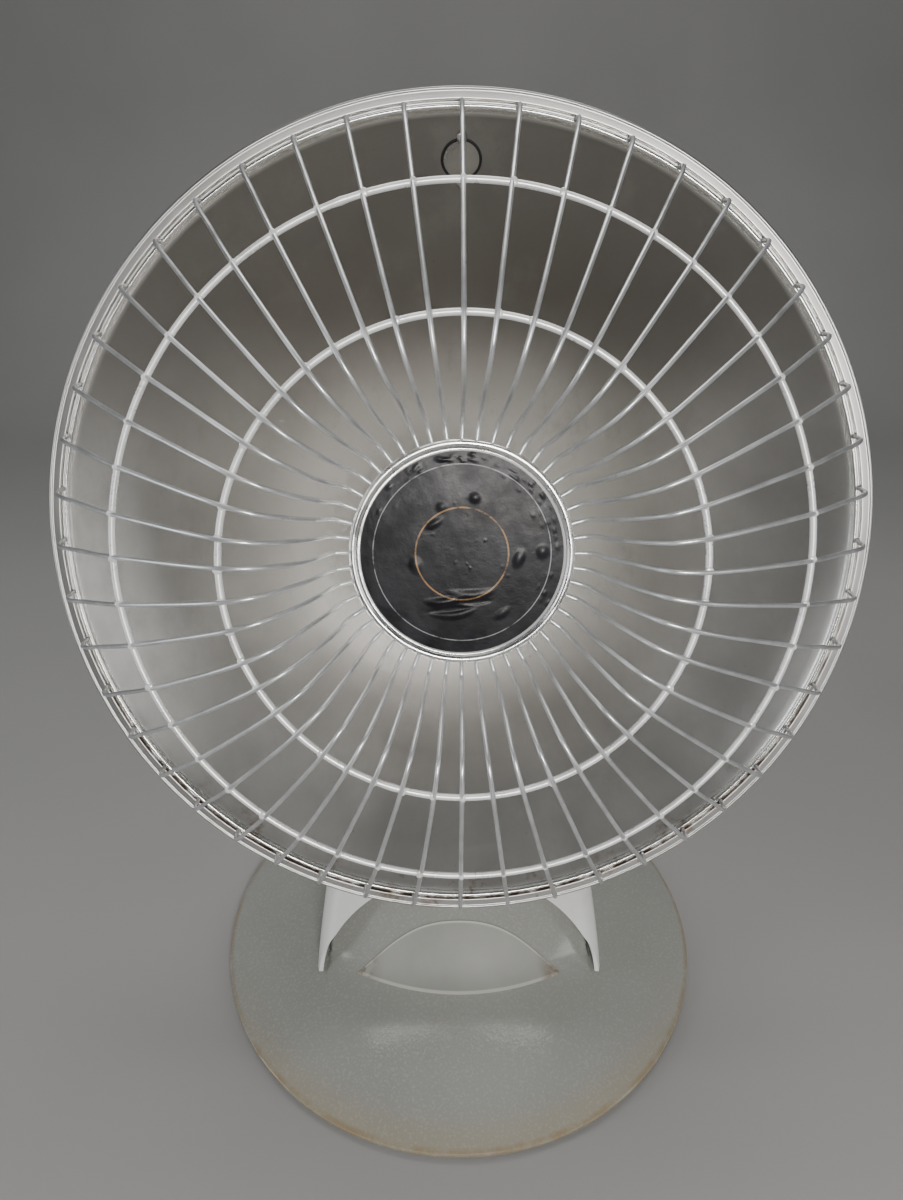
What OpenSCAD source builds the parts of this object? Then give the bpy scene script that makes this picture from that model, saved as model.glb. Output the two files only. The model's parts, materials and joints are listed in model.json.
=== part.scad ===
// Parabolic dish radiant heater on a round, lit floor base.
// The origin is the centre of the base's footprint on the floor. +Z is up and -Y is the front.
// "Dish frame" below means the frame of the reflector: its origin is the centre of the rim plane,
// +Z points out of the bowl towards the warmed person and +Y points up within the rim plane.

/* [Dish] */
// Radius of the dish at the outside of its rolled rim
dish_r = 197; // [190:1:204]
// Depth of the reflector, from the rim plane to its lowest point
dish_depth = 90; // [86:1:92]
// How far the dish faces upwards
dish_tilt = 16; // [14:1:18]
// Height of the rim's centre above the floor
rim_height = 293; // [290:1:296]
// Number of radial guard wires
wire_count = 48; // [36:6:48]
// Diameter of a radial guard wire
wire_d = 2.0; // [1.6:0.1:2.4]
// Diameter of the guard's round rings
ring_d = 2.8; // [2.4:0.1:3.2]
// Radius of the round cap in the middle of the guard
cap_r = 48.4; // [47:0.1:50]

/* [Base] */
// Radius of the lit base on the floor
base_r = 150; // [148:1:156]
// Height of the lit base's rim above the floor
base_edge = 6; // [5:0.5:7]
// Rise of the lit base from its rim to its middle
base_crown = 28; // [26:0.5:30]
// Wall thickness of the moulded plastic parts
wall = 3; // [2.5:0.1:3]

/* [Controls] */
// Radius of the thermostat knob
knob_r = 21; // [18:1:24]
// Travel of the tip-over plunger
plunger_travel = 5; // [4:0.5:6]

/* [Hidden] */
$fn = 64;
eps = 0.01;

// Dish
rim_y = -24;
bowl_r = 0.95 * dish_r;
sheet = 1.2;
vertex_z = -dish_depth;
thermostat_r = 0.873 * dish_r;
thermostat_disc_r = 8.2;
rivet_pitch = 19.4;
mount_hole_r = 14;
cap_z = 0.21 * dish_r;
wire_path = [
    [0.968, -0.002], [0.96, 0.02], [0.949, 0.058], [0.93, 0.108], [0.896, 0.152], [0.844, 0.19],
    [0.74, 0.29], [0.6, 0.372], [0.455, 0.44], [0.39, 0.425], [0.308, 0.307], [0.291, 0.218],
    [0.265, 0.21], [0.205, 0.21]];
outer_ring = [0.73, 0.298];
inner_ring = [0.472, 0.434];
hub_ring = [0.215, 0.21];

// Tilt pivot, in the dish frame and in the part's own frame
pivot_drop = 12;
pivot_back = 22;
pivot_dish_z = vertex_z - pivot_back;
pivot_y = rim_y - pivot_drop * sin(dish_tilt) - pivot_dish_z * cos(dish_tilt);
pivot_z = rim_height - pivot_drop * cos(dish_tilt) + pivot_dish_z * sin(dish_tilt);
pin_r = 4;
running_gap = 0.05;
arm_in = 48.5;
arm_out = 59;
boss_r = 20;
ear_x = 33;
ear_t = 2.5;
cup_r = 46;
cup_front = vertex_z + 3.1;
cup_back = vertex_z - 37;

// Pedestal: control values at equal steps of height from the base to the yoke
ped_low = 21;
ped_high = 190;
ped_half_width = [86, 81.5, 74, 66, 60];
ped_front = [-86, -52, -20, 15, 46];
ped_bow = 0.0036;
ped_rear = [117, 121, 123, 122, 118];
ped_front_round = [8, 11, 14, 17, 20];
ped_rear_round = [40, 38, 34, 30, 26];
ped_rows = 12;
arch_half = 84.5;
arch_rise = 58;
yoke_t = 6;
foot_gap = 0.8;

// Lit base
lens_t = 2.5;
hill_half = 73;
hill_rise = 60;
hill_toe = -62;
hill_slope = 1.65;
hill_back = 60;
lens_floor = 3;
sticker_half = 60;
sticker_front = -75;
sticker_back = -47;
plate_t = 2.5;
plate_inset = 9;
column_y = 86;
column_half = [38, 15];
column_t = 2;

// Inside pieces
lamp_y = 6;
switch_at = [-24, 88];
flange_z = lens_floor + plate_t + 3.5 + plunger_travel;
spring_top = 27.7;
spring_turns = 4;
plunger_r = 4;
knob_z = 118;
knob_y = 124.5;
knob_h = 15.5;
stem_r = 3;
gland_at = [38, 34];
gland_bore_r = 3.6;

function deep(r) = vertex_z + dish_depth * pow(r / bowl_r, 2);

// Catmull-Rom curve through equally spaced control values, for t from 0 to 1
function knot(p, k) = p[max(0, min(len(p) - 1, k))];
function spline(p, t) = let (s = max(0, min(0.99999, t)) * (len(p) - 1), k = floor(s), f = s - k)
    let (a = knot(p, k - 1), b = knot(p, k), c = knot(p, k + 1), d = knot(p, k + 2))
    0.5 * (2 * b + (c - a) * f + (2 * a - 5 * b + 4 * c - d) * f * f + (3 * b - a - 3 * c + d) * f * f * f);
function ped(p, z) = spline(p, (z - ped_low) / (ped_high - ped_low));

// Outer height of the lit base: a shallow dome, with a leaning hill that fills the pedestal's arch
function dome(x, y) = base_edge + base_crown * max(0, 1 - (x * x + y * y) / pow(base_r, 2));
function soft(v, k) = k * ln(1 + exp(v / k));
function lean(x, y) = hill_slope * soft(y - hill_toe - ped_bow * x * x, 6);
function shoulder(x, half) = hill_rise * sqrt(max(0, 1 - pow(x / half, 4)));
function blend(a, b) = let (k = 0.5 + 0.5 * max(-1, min(1, (b - a) / 12)))
    b * (1 - k) + a * k - 6 * k * (1 - k);
function hill(x, y, inset) = abs(x) >= hill_half - inset ? 0
    : max(0, min(blend(shoulder(x, hill_half - inset), lean(x, y - inset)),
        2.6 * max(0, hill_back - inset - y)));
function lens_z(x, y) = dome(x, y) + hill(x, y, 0);
function lens_in_z(x, y) = dome(x, y) - lens_t + hill(x, y, lens_t);

module in_dish() translate([0, rim_y, rim_height]) rotate([90 - dish_tilt, 0, 0]) children();

module at_pivot() translate([0, pivot_y, pivot_z]) children();

module both_sides() for (s = [-1, 1]) scale([s, 1, 1]) children();

module tube(outer, inner, h) difference() {
    cylinder(r = outer, h = h);
    translate([0, 0, -1]) cylinder(r = inner, h = h + 2);
}

module torus(r, d) rotate_extrude($fn = 96) translate([r, 0]) circle(d = d, $fn = 20);

module screw(head_r, head_h, shank_r, shank_h) {
    cylinder(r = head_r, h = head_h, $fn = 24);
    translate([0, 0, head_h - eps]) cylinder(r = shank_r, h = shank_h + eps, $fn = 24);
}

// Closed solid from rings of points: every ring has the same count, and the ends are capped
module sweep(rings, closed_ends = true) {
    n = len(rings[0]);
    m = len(rings);
    polyhedron(
        points = [for (ring = rings) each ring],
        faces = concat(
            [[for (k = [0 : n - 1]) k]],
            [for (j = [0 : m - 2], k = [0 : n - 1]) let (a = j * n + k, b = j * n + (k + 1) % n)
                each [[a, a + n, b], [b, a + n, b + n]]],
            [[for (k = [n - 1 : -1 : 0]) (m - 1) * n + k]]),
        convexity = 6);
}

// Closed sheet between two grids of points, outer[column][row] and inner[column][row]
module thick_sheet(outer, inner) {
    nc = len(outer);
    nr = len(outer[0]);
    base = nc * nr;
    cells = [for (c = [0 : nc - 2], r = [0 : nr - 2]) c * nr + r];
    edge = concat(
        [for (c = [0 : nc - 2]) [c * nr, (c + 1) * nr]],
        [for (r = [0 : nr - 2]) [(nc - 1) * nr + r, (nc - 1) * nr + r + 1]],
        [for (c = [nc - 1 : -1 : 1]) [c * nr + nr - 1, (c - 1) * nr + nr - 1]],
        [for (r = [nr - 1 : -1 : 1]) [r, r - 1]]);
    polyhedron(
        points = concat([for (col = outer) each col], [for (col = inner) each col]),
        faces = concat(
            [for (a = cells) each [[a, a + 1, a + nr], [a + 1, a + nr + 1, a + nr]]],
            [for (a = cells) let (b = a + base) each [[b, b + nr, b + 1], [b + 1, b + nr, b + nr + 1]]],
            [for (e = edge) each [[e[0], e[1], e[0] + base], [e[1], e[1] + base, e[0] + base]]]),
        convexity = 8);
}

// A round wire swept along a coil about Z
module coil(r, wire_r, turns, pitch, per_turn, sides) {
    steps = turns * per_turn;
    sweep([for (i = [0 : steps]) let (a = 360 * i / per_turn, z = pitch * i / per_turn)
        [for (k = [0 : sides - 1]) let (b = -360 * k / sides)
            [(r + wire_r * cos(b)) * cos(a), (r + wire_r * cos(b)) * sin(a), z + wire_r * sin(b)]]]);
}

// ---------- Head ----------

module reflector() color("darkgray") in_dish() difference() {
    steps = 18;
    front = [for (i = [0 : steps]) let (r = bowl_r * i / steps) [r, deep(r)]];
    back = [for (i = [steps : -1 : 0]) let (r = bowl_r * i / steps) [r, deep(r) - sheet]];
    lip = [
        [bowl_r + 1, 1.2], [bowl_r + 2.4, 1.4], [bowl_r + 3, -1.4], [bowl_r + 4.4, -1.4], [bowl_r + 4.6, 0.4],
        [dish_r - 1.6, 0.4], [dish_r - 1.2, 1], [dish_r, 0.6], [dish_r, -3], [dish_r - 1.2, -3],
        [dish_r - 1.4, -0.8], [bowl_r + 5.6, -0.8], [bowl_r + 5.4, -2.6], [bowl_r + 1.8, -2.6],
        [bowl_r + 1, -0.2]];
    rotate_extrude($fn = 120) polygon(concat(front, lip, back));
    translate([0, 0, vertex_z - 5]) cylinder(r = mount_hole_r, h = 10);
    bracket_screw_places() cylinder(r = 2.1, h = 20, $fn = 24);
    thermostat_axis() {
        translate([0, 0, -6]) cylinder(r = thermostat_disc_r + 0.3, h = 12);
        for (s = [-1, 1]) translate([0, s * rivet_pitch / 2, -6]) cylinder(r = 1.5, h = 12, $fn = 24);
    }
}

// Frame on the reflector's surface at the limit thermostat, +Z into the bowl
module thermostat_axis() {
    slope = atan(2 * dish_depth * thermostat_r / pow(bowl_r, 2));
    translate([0, thermostat_r, deep(thermostat_r)]) rotate([slope, 0, 0]) children();
}

module one_wire() {
    sides = 6;
    p = [for (q = wire_path) q * dish_r];
    n = len(p);
    function run(i) = let (a = p[max(0, i - 1)], b = p[min(n - 1, i + 1)], d = b - a) d / norm(d);
    sweep([for (i = [0 : n - 1]) let (t = run(i), up = [-t[1], t[0]])
        [for (k = [0 : sides - 1]) let (a = 360 * k / sides, s = wire_d / 2 * cos(a))
            [p[i][0] + s * up[0], wire_d / 2 * sin(a), p[i][1] + s * up[1]]]]);
}

module guard_wires() color("silver") in_dish()
    for (k = [0 : wire_count - 1]) rotate([0, 0, 90 + 360 * k / wire_count]) one_wire();

module guard_ring(at) color("white") in_dish() translate([0, 0, at[1] * dish_r - ring_d / 2])
    torus(at[0] * dish_r, ring_d);

module guard_outer_ring() guard_ring(outer_ring);

module guard_inner_ring() guard_ring(inner_ring);

module guard_hub_ring() guard_ring(hub_ring);

module cap_bezel() color("silver") in_dish() translate([0, 0, cap_z + 1.4]) rotate_extrude($fn = 96)
    polygon([[0, 0], [cap_r - 1, 0], [cap_r, 0.6], [cap_r, 1.8], [cap_r - 0.8, 2.8], [cap_r - 2, 3],
        [cap_r - 3.2, 2.2], [cap_r - 3.6, 1.4], [0, 1.4]]);

module cap_label() color("dimgray") in_dish() translate([0.4, 0, cap_z + 2.8])
    cylinder(r = cap_r - 4.2, h = 0.6);

module heat_shield() color("silver") in_dish() translate([0, 0, cap_z - 6.5]) difference() {
    rotate_extrude() polygon([[0, 0], [30, 0], [36, -2.5], [36.4, -1.6], [30.2, 1], [0, 1]]);
    translate([0, 0, -4]) cylinder(r = 3.1, h = 8, $fn = 32);
}

module element_former() color("linen") in_dish() translate([0, 0, -30]) difference() {
    rotate_extrude() polygon(concat([[0, 0], [17, 0], [17, 4], [14, 4]],
        [for (i = [0 : 9]) each [[14, 6 + 5 * i], [15, 7 + 5 * i], [15, 9 + 5 * i], [14, 10 + 5 * i]]],
        [[14, 58], [17, 58], [17, 62], [0, 62]]));
    translate([0, 0, -1]) cylinder(r = 3.1, h = 66, $fn = 32);
}

module heating_coil() color("peru") in_dish() translate([0, 0, -24]) coil(16.9, 1.5, 10, 5, 14, 6);

module centre_rod() color("silver") in_dish() translate([0, 0, vertex_z - 22]) {
    cylinder(r = 3, h = dish_depth + 22 + cap_z + 1.4, $fn = 32);
}

module element_mount() color("silver") in_dish() difference() {
    translate([0, 0, vertex_z - 4]) rotate_extrude()
        polygon([[0, 0], [24, 0], [24, 2.4], [13.5, 2.4], [13.5, 12], [11, 14], [11, 56], [16, 58], [16, 64],
            [0, 64]]);
    translate([0, 0, vertex_z - 5]) cylinder(r = 3.1, h = 70, $fn = 32);
    bracket_screw_places() cylinder(r = 2.1, h = 20, $fn = 24);
}

module rod_nuts() color("silver") in_dish()
    for (z = [vertex_z - 12.2, 32.2]) translate([0, 0, z]) difference() {
        cylinder(r = 5.8, h = z < 0 ? 5 : 2.4, $fn = 6);
        translate([0, 0, -1]) cylinder(r = 3, h = 8, $fn = 32);
    }

module limit_thermostat() color("gainsboro") in_dish() thermostat_axis() {
    translate([0, 0, -9]) cylinder(r = 7.2, h = 7);
    translate([0, 0, -2.1]) cylinder(r = thermostat_disc_r, h = 2.5);
    translate([-4, -rivet_pitch / 2 - 4, -3.6]) cube([8, rivet_pitch + 8, 1.6]);
}

module thermostat_rivets() color("silver") in_dish() thermostat_axis()
    for (s = [-1, 1]) translate([0, s * rivet_pitch / 2, -2]) {
        cylinder(r = 1.4, h = 2.5, $fn = 24);
        translate([0, 0, 2.45]) cylinder(r = 2.4, h = 0.8, $fn = 24);
        translate([0, 0, 3.24]) cylinder(r1 = 2.4, r2 = 1.2, h = 0.8, $fn = 24);
    }

module trunnion_bracket() color("gray") in_dish() difference() {
    union() {
        translate([0, 0, vertex_z - 6.8]) cylinder(r = ear_x, h = 2.5);
        both_sides() hull() {
            translate([ear_x - ear_t, -pivot_drop, pivot_dish_z]) rotate([0, 90, 0])
                cylinder(r = 8, h = ear_t, $fn = 32);
            translate([ear_x - ear_t, -pivot_drop - 8, vertex_z - 6.8]) cube([ear_t, 16, 2.5]);
        }
    }
    translate([-50, -pivot_drop, pivot_dish_z]) rotate([0, 90, 0]) cylinder(r = pin_r, h = 100);
    translate([0, 0, vertex_z - 10]) cylinder(r = 3.2, h = 20, $fn = 32);
    bracket_screw_places() cylinder(r = 2.1, h = 20, $fn = 24);
}

module bracket_screw_places() for (a = [45, 135, 225, 315]) rotate([0, 0, a])
    translate([18.5, 0, vertex_z - 12]) children();

module bracket_screws() color("silver") in_dish()
    bracket_screw_places() translate([0, 0, 2.2]) screw(3.6, 3, 2, 8);

module pivot_pins() color("gray") at_pivot() both_sides() rotate([0, 90, 0]) {
    translate([0, 0, ear_x - ear_t - 2]) cylinder(r = pin_r, h = arm_out + 0.3 - ear_x + ear_t + 2 + eps);
    translate([0, 0, arm_out + 0.3]) cylinder(r = 8, h = 2.2);
}

module friction_washers() color("black") at_pivot() both_sides() translate([ear_x + 0.1, 0, 0])
    rotate([0, 90, 0]) tube(9, pin_r + 0.1, arm_in - ear_x - 0.4);

module rear_housing() color("whitesmoke") in_dish() difference() {
    rotate_extrude() polygon([[0, cup_back], [cup_r - 9, cup_back], [cup_r - 3, cup_back + 2.5],
        [cup_r, cup_back + 9], [cup_r, cup_front], [cup_r - wall, cup_front], [cup_r - wall, cup_back + 10],
        [cup_r - 5.2, cup_back + 4.8],
        [cup_r - 10, cup_back + wall], [0, cup_back + wall]]);
    translate([-60, -pivot_drop, pivot_dish_z]) rotate([0, 90, 0]) cylinder(r = 10, h = 120);
    housing_screw_places() translate([0, 0, -1]) cylinder(r = 1.9, h = 10, $fn = 24);
}

module housing_screw_places() for (s = [-1, 1]) translate([s * 24, 18, cup_back]) children();

module housing_screws() color("silver") in_dish() housing_screw_places() translate([0, 0, -2.2]) {
    screw(3.4, 2.2, 1.8, 30);
}

// ---------- Stand ----------

module section_cap(z, h, inset) translate([0, 0, z]) linear_extrude(height = h)
    polygon(concat(ped_half(z, 0, inset), ped_half(z, 1, inset)));

module yoke() color("white") difference() {
    union() {
        section_cap(ped_high, yoke_t, 0);
        translate([0, 0, -4]) section_cap(ped_high, 4.1, wall + 1.2);
        both_sides() hull() {
            translate([arm_in, pivot_y, pivot_z]) rotate([0, 90, 0])
                cylinder(r = boss_r, h = arm_out - arm_in, $fn = 40);
            translate([arm_in, pivot_y - 24, ped_high]) cube([arm_out - arm_in, 48, 4]);
        }
    }
    translate([-80, pivot_y, pivot_z]) rotate([0, 90, 0]) cylinder(r = pin_r + running_gap, h = 160);
    translate([0, column_y, ped_high - 6]) cylinder(r = 8, h = 20, $fn = 32);
}

module support_column() color("gray") difference() {
    translate([-column_half[0], column_y - column_half[1], lens_floor + plate_t]) union() {
        cube([2 * column_half[0], column_t, ped_high - 4 - lens_floor - plate_t]);
        for (x = [0, 2 * column_half[0] - column_t])
            translate([x, 0, 0]) cube([column_t, 2 * column_half[1], ped_high - 4 - lens_floor - plate_t]);
        cube([2 * column_half[0], 2 * column_half[1], column_t]);
    }
    column_screw_places() translate([0, 0, -20]) cylinder(r = 2.1, h = 60, $fn = 24);
    translate([switch_at[0], switch_at[1], 0]) cylinder(r = 9.5, h = 20, $fn = 32);
}

module column_screw_places() for (x = [-6, 30], y = [-8, 8]) translate([x, column_y + y, 0]) children();

module column_screws() color("silver") column_screw_places() translate([0, 0, 0.9]) screw(3.6, 2, 2, 8);

// Points of one half of the pedestal's level section: side 0 is the front half and 1 the rear half
function ped_half(z, side, inset) =
    let (w = ped(ped_half_width, z) - inset, f = ped(ped_front, z), b = ped(ped_rear, z), seam = (f + b) / 2)
    let (s = side == 0 ? -1 : 1, e = (side == 0 ? f : b) - s * inset, bow = side == 0 ? ped_bow : 0)
    let (rc = max(2, ped(side == 0 ? ped_front_round : ped_rear_round, z) - inset), flat = w - rc)
    let (side_y = (seam + e + bow * w * w - s * rc) / 2)
    concat(
        [[s * w, seam], [s * w, side_y]],
        [for (a = [90 : -15 : 15]) let (x = flat + rc * sin(a))
            [s * x, e + bow * x * x - s * rc * (1 - cos(a))]],
        [for (k = [6 : -1 : -6]) let (x = k / 6 * flat) [s * x, e + bow * x * x]],
        [for (a = [15 : 15 : 90]) let (x = flat + rc * sin(a))
            [-s * x, e + bow * x * x - s * rc * (1 - cos(a))]],
        [[-s * w, side_y], [-s * w, seam]]);

// Height of the pedestal's lower edge at one column of its lowest section, from its outer and inner points
function ped_foot(p, q, side) = max(dome(p[0], p[1]), dome(q[0], q[1])) + foot_gap
    + (side == 0 && p[1] < 0 ? arch_rise * sqrt(max(0, 1 - pow(p[0] / arch_half, 2))) : 0);

function ped_grid(side, inset) =
    let (low = ped_half(ped_low, side, 0), low_in = ped_half(ped_low, side, wall))
    [for (c = [0 : len(low) - 1]) let (z0 = ped_foot(low[c], low_in[c], side))
        [for (r = [0 : ped_rows]) let (z = z0 + (ped_high - z0) * r / ped_rows)
            let (p = ped_half(z, side, inset)[c]) [p[0], p[1], z]]];

module pedestal_front() color("white") thick_sheet(ped_grid(0, 0), ped_grid(0, wall));

module pedestal_rear() color("white") difference() {
    thick_sheet(ped_grid(1, 0), ped_grid(1, wall));
    translate([0, 130, knob_z]) rotate([90, 0, 0]) cylinder(r = 5, h = 20);
    translate([gland_at[0], 130, gland_at[1]]) rotate([90, 0, 0]) cylinder(r = 6.5, h = 22);
}

function lens_point(i, k, rings, inside) =
    let (t = i / rings, r = (base_r - (inside ? lens_t : 0)) * (1 - pow(1 - t, 1.25)), a = 360 * k / 60)
    let (x = r * cos(a), y = r * sin(a)) [x, y, inside ? lens_in_z(x, y) : lens_z(x, y)];

module base_lens() color("gainsboro", 0.6) difference() {
    lens_shell(20);
    translate([-48, 66, 0]) cube([96, 42, 60]);
}

module lens_shell(rings) {
    n = 60;
    top = [for (i = [1 : rings], k = [0 : n - 1]) lens_point(i, k, rings, false)];
    function rim_ring(r) = [for (k = [0 : n - 1]) [r * cos(360 * k / n), r * sin(360 * k / n), lens_floor]];
    under = [for (i = [rings : -1 : 1], k = [0 : n - 1]) lens_point(i, k, rings, true)];
    all = concat([[0, 0, lens_z(0, 0)]], top, rim_ring(base_r), rim_ring(base_r - lens_t), under,
        [[0, 0, lens_in_z(0, 0)]]);
    m = 2 * rings + 2;
    last = len(all) - 1;
    polyhedron(points = all, faces = concat(
        [for (k = [0 : n - 1]) [0, 1 + (k + 1) % n, 1 + k]],
        [for (j = [0 : m - 2], k = [0 : n - 1]) let (a = 1 + j * n + k, b = 1 + j * n + (k + 1) % n)
            each [[a, b, a + n], [b, b + n, a + n]]],
        [for (k = [0 : n - 1]) let (s = 1 + (m - 1) * n) [last, s + k, s + (k + 1) % n]]), convexity = 8);
}

module base_plate() color("gray") difference() {
    translate([0, 0, lens_floor]) cylinder(r = base_r - plate_inset, h = plate_t, $fn = 96);
    column_screw_places() cylinder(r = 2.1, h = 20, $fn = 24);
    base_screw_places() cylinder(r = 1.9, h = 20, $fn = 24);
    translate([0, lamp_y, -1]) cylinder(r = 24, h = 20);
    translate([switch_at[0], switch_at[1], -1]) cylinder(r = plunger_r + 0.6, h = 20, $fn = 32);
}

module base_screw_places() for (a = [30 : 60 : 330]) rotate([0, 0, a])
    translate([base_r - 12, 0, 0]) children();

module base_screws() color("silver") base_screw_places() translate([0, 0, 1]) screw(3.4, 2, 1.8, 2.8);

module rubber_feet() color("dimgray") for (a = [45 : 90 : 315]) rotate([0, 0, a])
    translate([base_r - 28, 0, 0]) cylinder(r = 9, h = lens_floor, $fn = 32);

module ballast() color("dimgray") translate([0, 0, lens_floor + plate_t]) rotate([0, 0, 190])
    rotate_extrude(angle = 160) translate([58, 0]) square([56, 5]);

module lamp_door() color("gray") translate([0, lamp_y, lens_floor]) {
    cylinder(r = 23.6, h = plate_t);
    translate([-3, -16, -0.8]) cube([6, 32, 0.9]);
}

module lamp_socket() color("ivory") translate([0, lamp_y, lens_floor + plate_t]) tube(13, 8.3, 24);

module lamp_base() color("silver") translate([0, lamp_y, 12]) {
    cylinder(r = 7.6, h = 17);
    translate([0, 0, -2]) cylinder(r = 4, h = 2.1);
}

module lamp_bulb() color("white") translate([0, lamp_y, 29]) rotate_extrude()
    polygon([[0, 0], [7.4, 0], [8.5, 4], [12.5, 11], [14, 17], [13.4, 23], [10.8, 28], [6.4, 31.4],
        [0, 32.6]]);

// The sticker's outline on the hill: two curved long edges that meet in a point at each end
function sticker_y(s, t) = (1 - t) * (sticker_front + 15 * s * s) + t * (sticker_back - 12 * pow(abs(s), 3));
function sticker_grid(lift) = [for (i = [-8 : 8]) let (s = i / 8)
    [for (j = [0 : 6]) let (x = sticker_half * s, y = sticker_y(s, j / 6))
        [x, y - lift * 0.9, lens_z(x, y) + lift * 0.5]]];

module blank_sticker() color("gainsboro") thick_sheet(sticker_grid(1.8), sticker_grid(1.3));

module at_switch(z) translate([switch_at[0], switch_at[1], z]) children();

module tip_switch_body() color("black") at_switch(lens_floor + plate_t) difference() {
    union() {
        tube(9, plunger_r + running_gap, 3);
        translate([0, 0, 3 - eps]) tube(9, 7.5, 20 + 2 * eps);
        translate([0, 0, 23]) cylinder(r = 9, h = 6);
    }
    translate([0, 0, 22]) cylinder(r = 1.6, h = 5.5, $fn = 24);
}

module tip_plunger() color("black") at_switch(0) {
    cylinder(r = plunger_r, h = flange_z + 0.1);
    translate([0, 0, flange_z]) cylinder(r = 6.9, h = 2);
    translate([0, 0, flange_z + 2 - eps]) cylinder(r = 1.2, h = 15, $fn = 24);
}

module tip_spring() color("silver") at_switch(flange_z + 2.7)
    coil(4.6, 0.6, spring_turns, (spring_top - flange_z - 2.7) / spring_turns, 12, 6);

// Frame on the inner face of the support column's web, x across and z up it
module on_web(x, z) translate([x, column_y - column_half[1] + column_t, z]) children();

module buzzer() color("black") on_web(20, 60) rotate([-90, 0, 0]) difference() {
    cylinder(r = 11, h = 8);
    translate([0, 0, 6]) cylinder(r = 2, h = 4, $fn = 24);
}

module control_thermostat() color("tan") translate([0, knob_y - 1, knob_z]) rotate([90, 0, 0]) difference() {
    union() {
        cylinder(r = 4.6, h = 10);
        translate([0, 0, 9]) cylinder(r = 14, h = 14);
        translate([-12, -20, 19]) cube([24, 40, 6]);
    }
    translate([0, 0, -1]) cylinder(r = stem_r + running_gap, h = 12);
}

module terminal_block() color("ivory") on_web(-16, 150) difference() {
    cube([32, 12, 14]);
    for (x = [6, 16, 26]) translate([x, 6, 4]) cylinder(r = 2, h = 12, $fn = 24);
}

module cord_gland() color("dimgray") translate([gland_at[0], 108, gland_at[1]]) rotate([-90, 0, 0])
    difference() {
        union() {
            cylinder(r = 6.3, h = 12);
            translate([0, 0, 11.4]) cylinder(r = 8.5, h = 2.6);
        }
        translate([0, 0, -1]) cylinder(r = gland_bore_r, h = 20);
    }

module control_knob() color("dimgray") translate([0, knob_y, knob_z]) rotate([-90, 0, 0]) {
    rotate_extrude() polygon([[0, 0], [knob_r, 0], [knob_r, 3], [knob_r - 3, 5], [knob_r - 4, 14],
        [knob_r - 6, knob_h], [0, knob_h]]);
    translate([0, 0, -10]) cylinder(r = stem_r, h = 10.5);
}

module knob_pointer() color("white") translate([0, knob_y + knob_h, knob_z]) rotate([-90, 0, 0])
    translate([-1.2, -15, 0]) cube([2.4, 12, 1]);

reflector();
guard_wires();
guard_outer_ring();
guard_inner_ring();
guard_hub_ring();
cap_bezel();
cap_label();
heat_shield();
element_former();
heating_coil();
centre_rod();
element_mount();
rod_nuts();
limit_thermostat();
thermostat_rivets();
trunnion_bracket();
bracket_screws();
pivot_pins();
friction_washers();
rear_housing();
housing_screws();
yoke();
support_column();
column_screws();
pedestal_front();
pedestal_rear();
base_lens();
base_plate();
base_screws();
rubber_feet();
ballast();
lamp_bulb();
lamp_base();
lamp_socket();
lamp_door();
blank_sticker();
tip_switch_body();
tip_plunger();
tip_spring();
buzzer();
control_thermostat();
terminal_block();
cord_gland();
control_knob();
knob_pointer();
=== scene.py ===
import json
import math
import random

import bmesh
import bpy
from mathutils import Matrix, Vector


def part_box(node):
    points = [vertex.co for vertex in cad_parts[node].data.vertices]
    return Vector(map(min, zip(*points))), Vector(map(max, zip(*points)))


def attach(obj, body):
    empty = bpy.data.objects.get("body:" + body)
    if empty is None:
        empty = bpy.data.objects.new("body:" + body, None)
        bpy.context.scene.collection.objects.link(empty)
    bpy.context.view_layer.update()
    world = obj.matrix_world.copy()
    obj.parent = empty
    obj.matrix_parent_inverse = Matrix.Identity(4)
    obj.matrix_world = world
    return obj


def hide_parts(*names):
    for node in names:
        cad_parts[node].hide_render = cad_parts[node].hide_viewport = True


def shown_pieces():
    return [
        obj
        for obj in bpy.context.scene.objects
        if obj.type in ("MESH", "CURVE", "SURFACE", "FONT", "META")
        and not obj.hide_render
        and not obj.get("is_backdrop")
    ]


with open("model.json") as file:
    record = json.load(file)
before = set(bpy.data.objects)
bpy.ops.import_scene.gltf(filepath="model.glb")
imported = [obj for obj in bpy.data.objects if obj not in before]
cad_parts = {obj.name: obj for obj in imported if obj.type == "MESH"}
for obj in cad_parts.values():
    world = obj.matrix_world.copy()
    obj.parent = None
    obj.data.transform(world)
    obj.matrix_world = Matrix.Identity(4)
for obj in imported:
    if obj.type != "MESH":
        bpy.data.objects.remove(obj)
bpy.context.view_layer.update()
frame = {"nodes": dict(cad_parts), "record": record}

MM = 0.001
rng = random.Random(31)

# ---------------------------------------------------------------- places read from the frame

joints = {j["name"]: j for j in frame["record"]["behaviour"]["joints"]}
PIVOT = Vector(joints["head_tilt"]["pos_m"])
KNOB_AT = Vector(joints["knob_turn"]["pos_m"])
reflector_low, reflector_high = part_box("reflector")
DISH_R = (reflector_high[0] - reflector_low[0]) / 2 / MM
BOWL_R = 0.95 * DISH_R
DEPTH = 90.0
TILT = 16.0
PIVOT_DROP, PIVOT_BACK = 12, 22
DISH_TURN = Matrix.Rotation(math.radians(90 - TILT), 4, "X")
RIM_CENTRE = PIVOT - (DISH_TURN @ Vector((0, -PIVOT_DROP * MM, -(DEPTH + PIVOT_BACK) * MM)))
DISH = Matrix.Translation(RIM_CENTRE) @ DISH_TURN
HERE = Matrix.Identity(4)
CAP_R = 48.4
CAP_Z = 0.21 * DISH_R
WIRE_COUNT = 48
STICKER_HALF, STICKER_LOW, STICKER_LOW_BOW, STICKER_TOP, STICKER_TOP_BOW = 60, -75, 15, -47, 12

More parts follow.
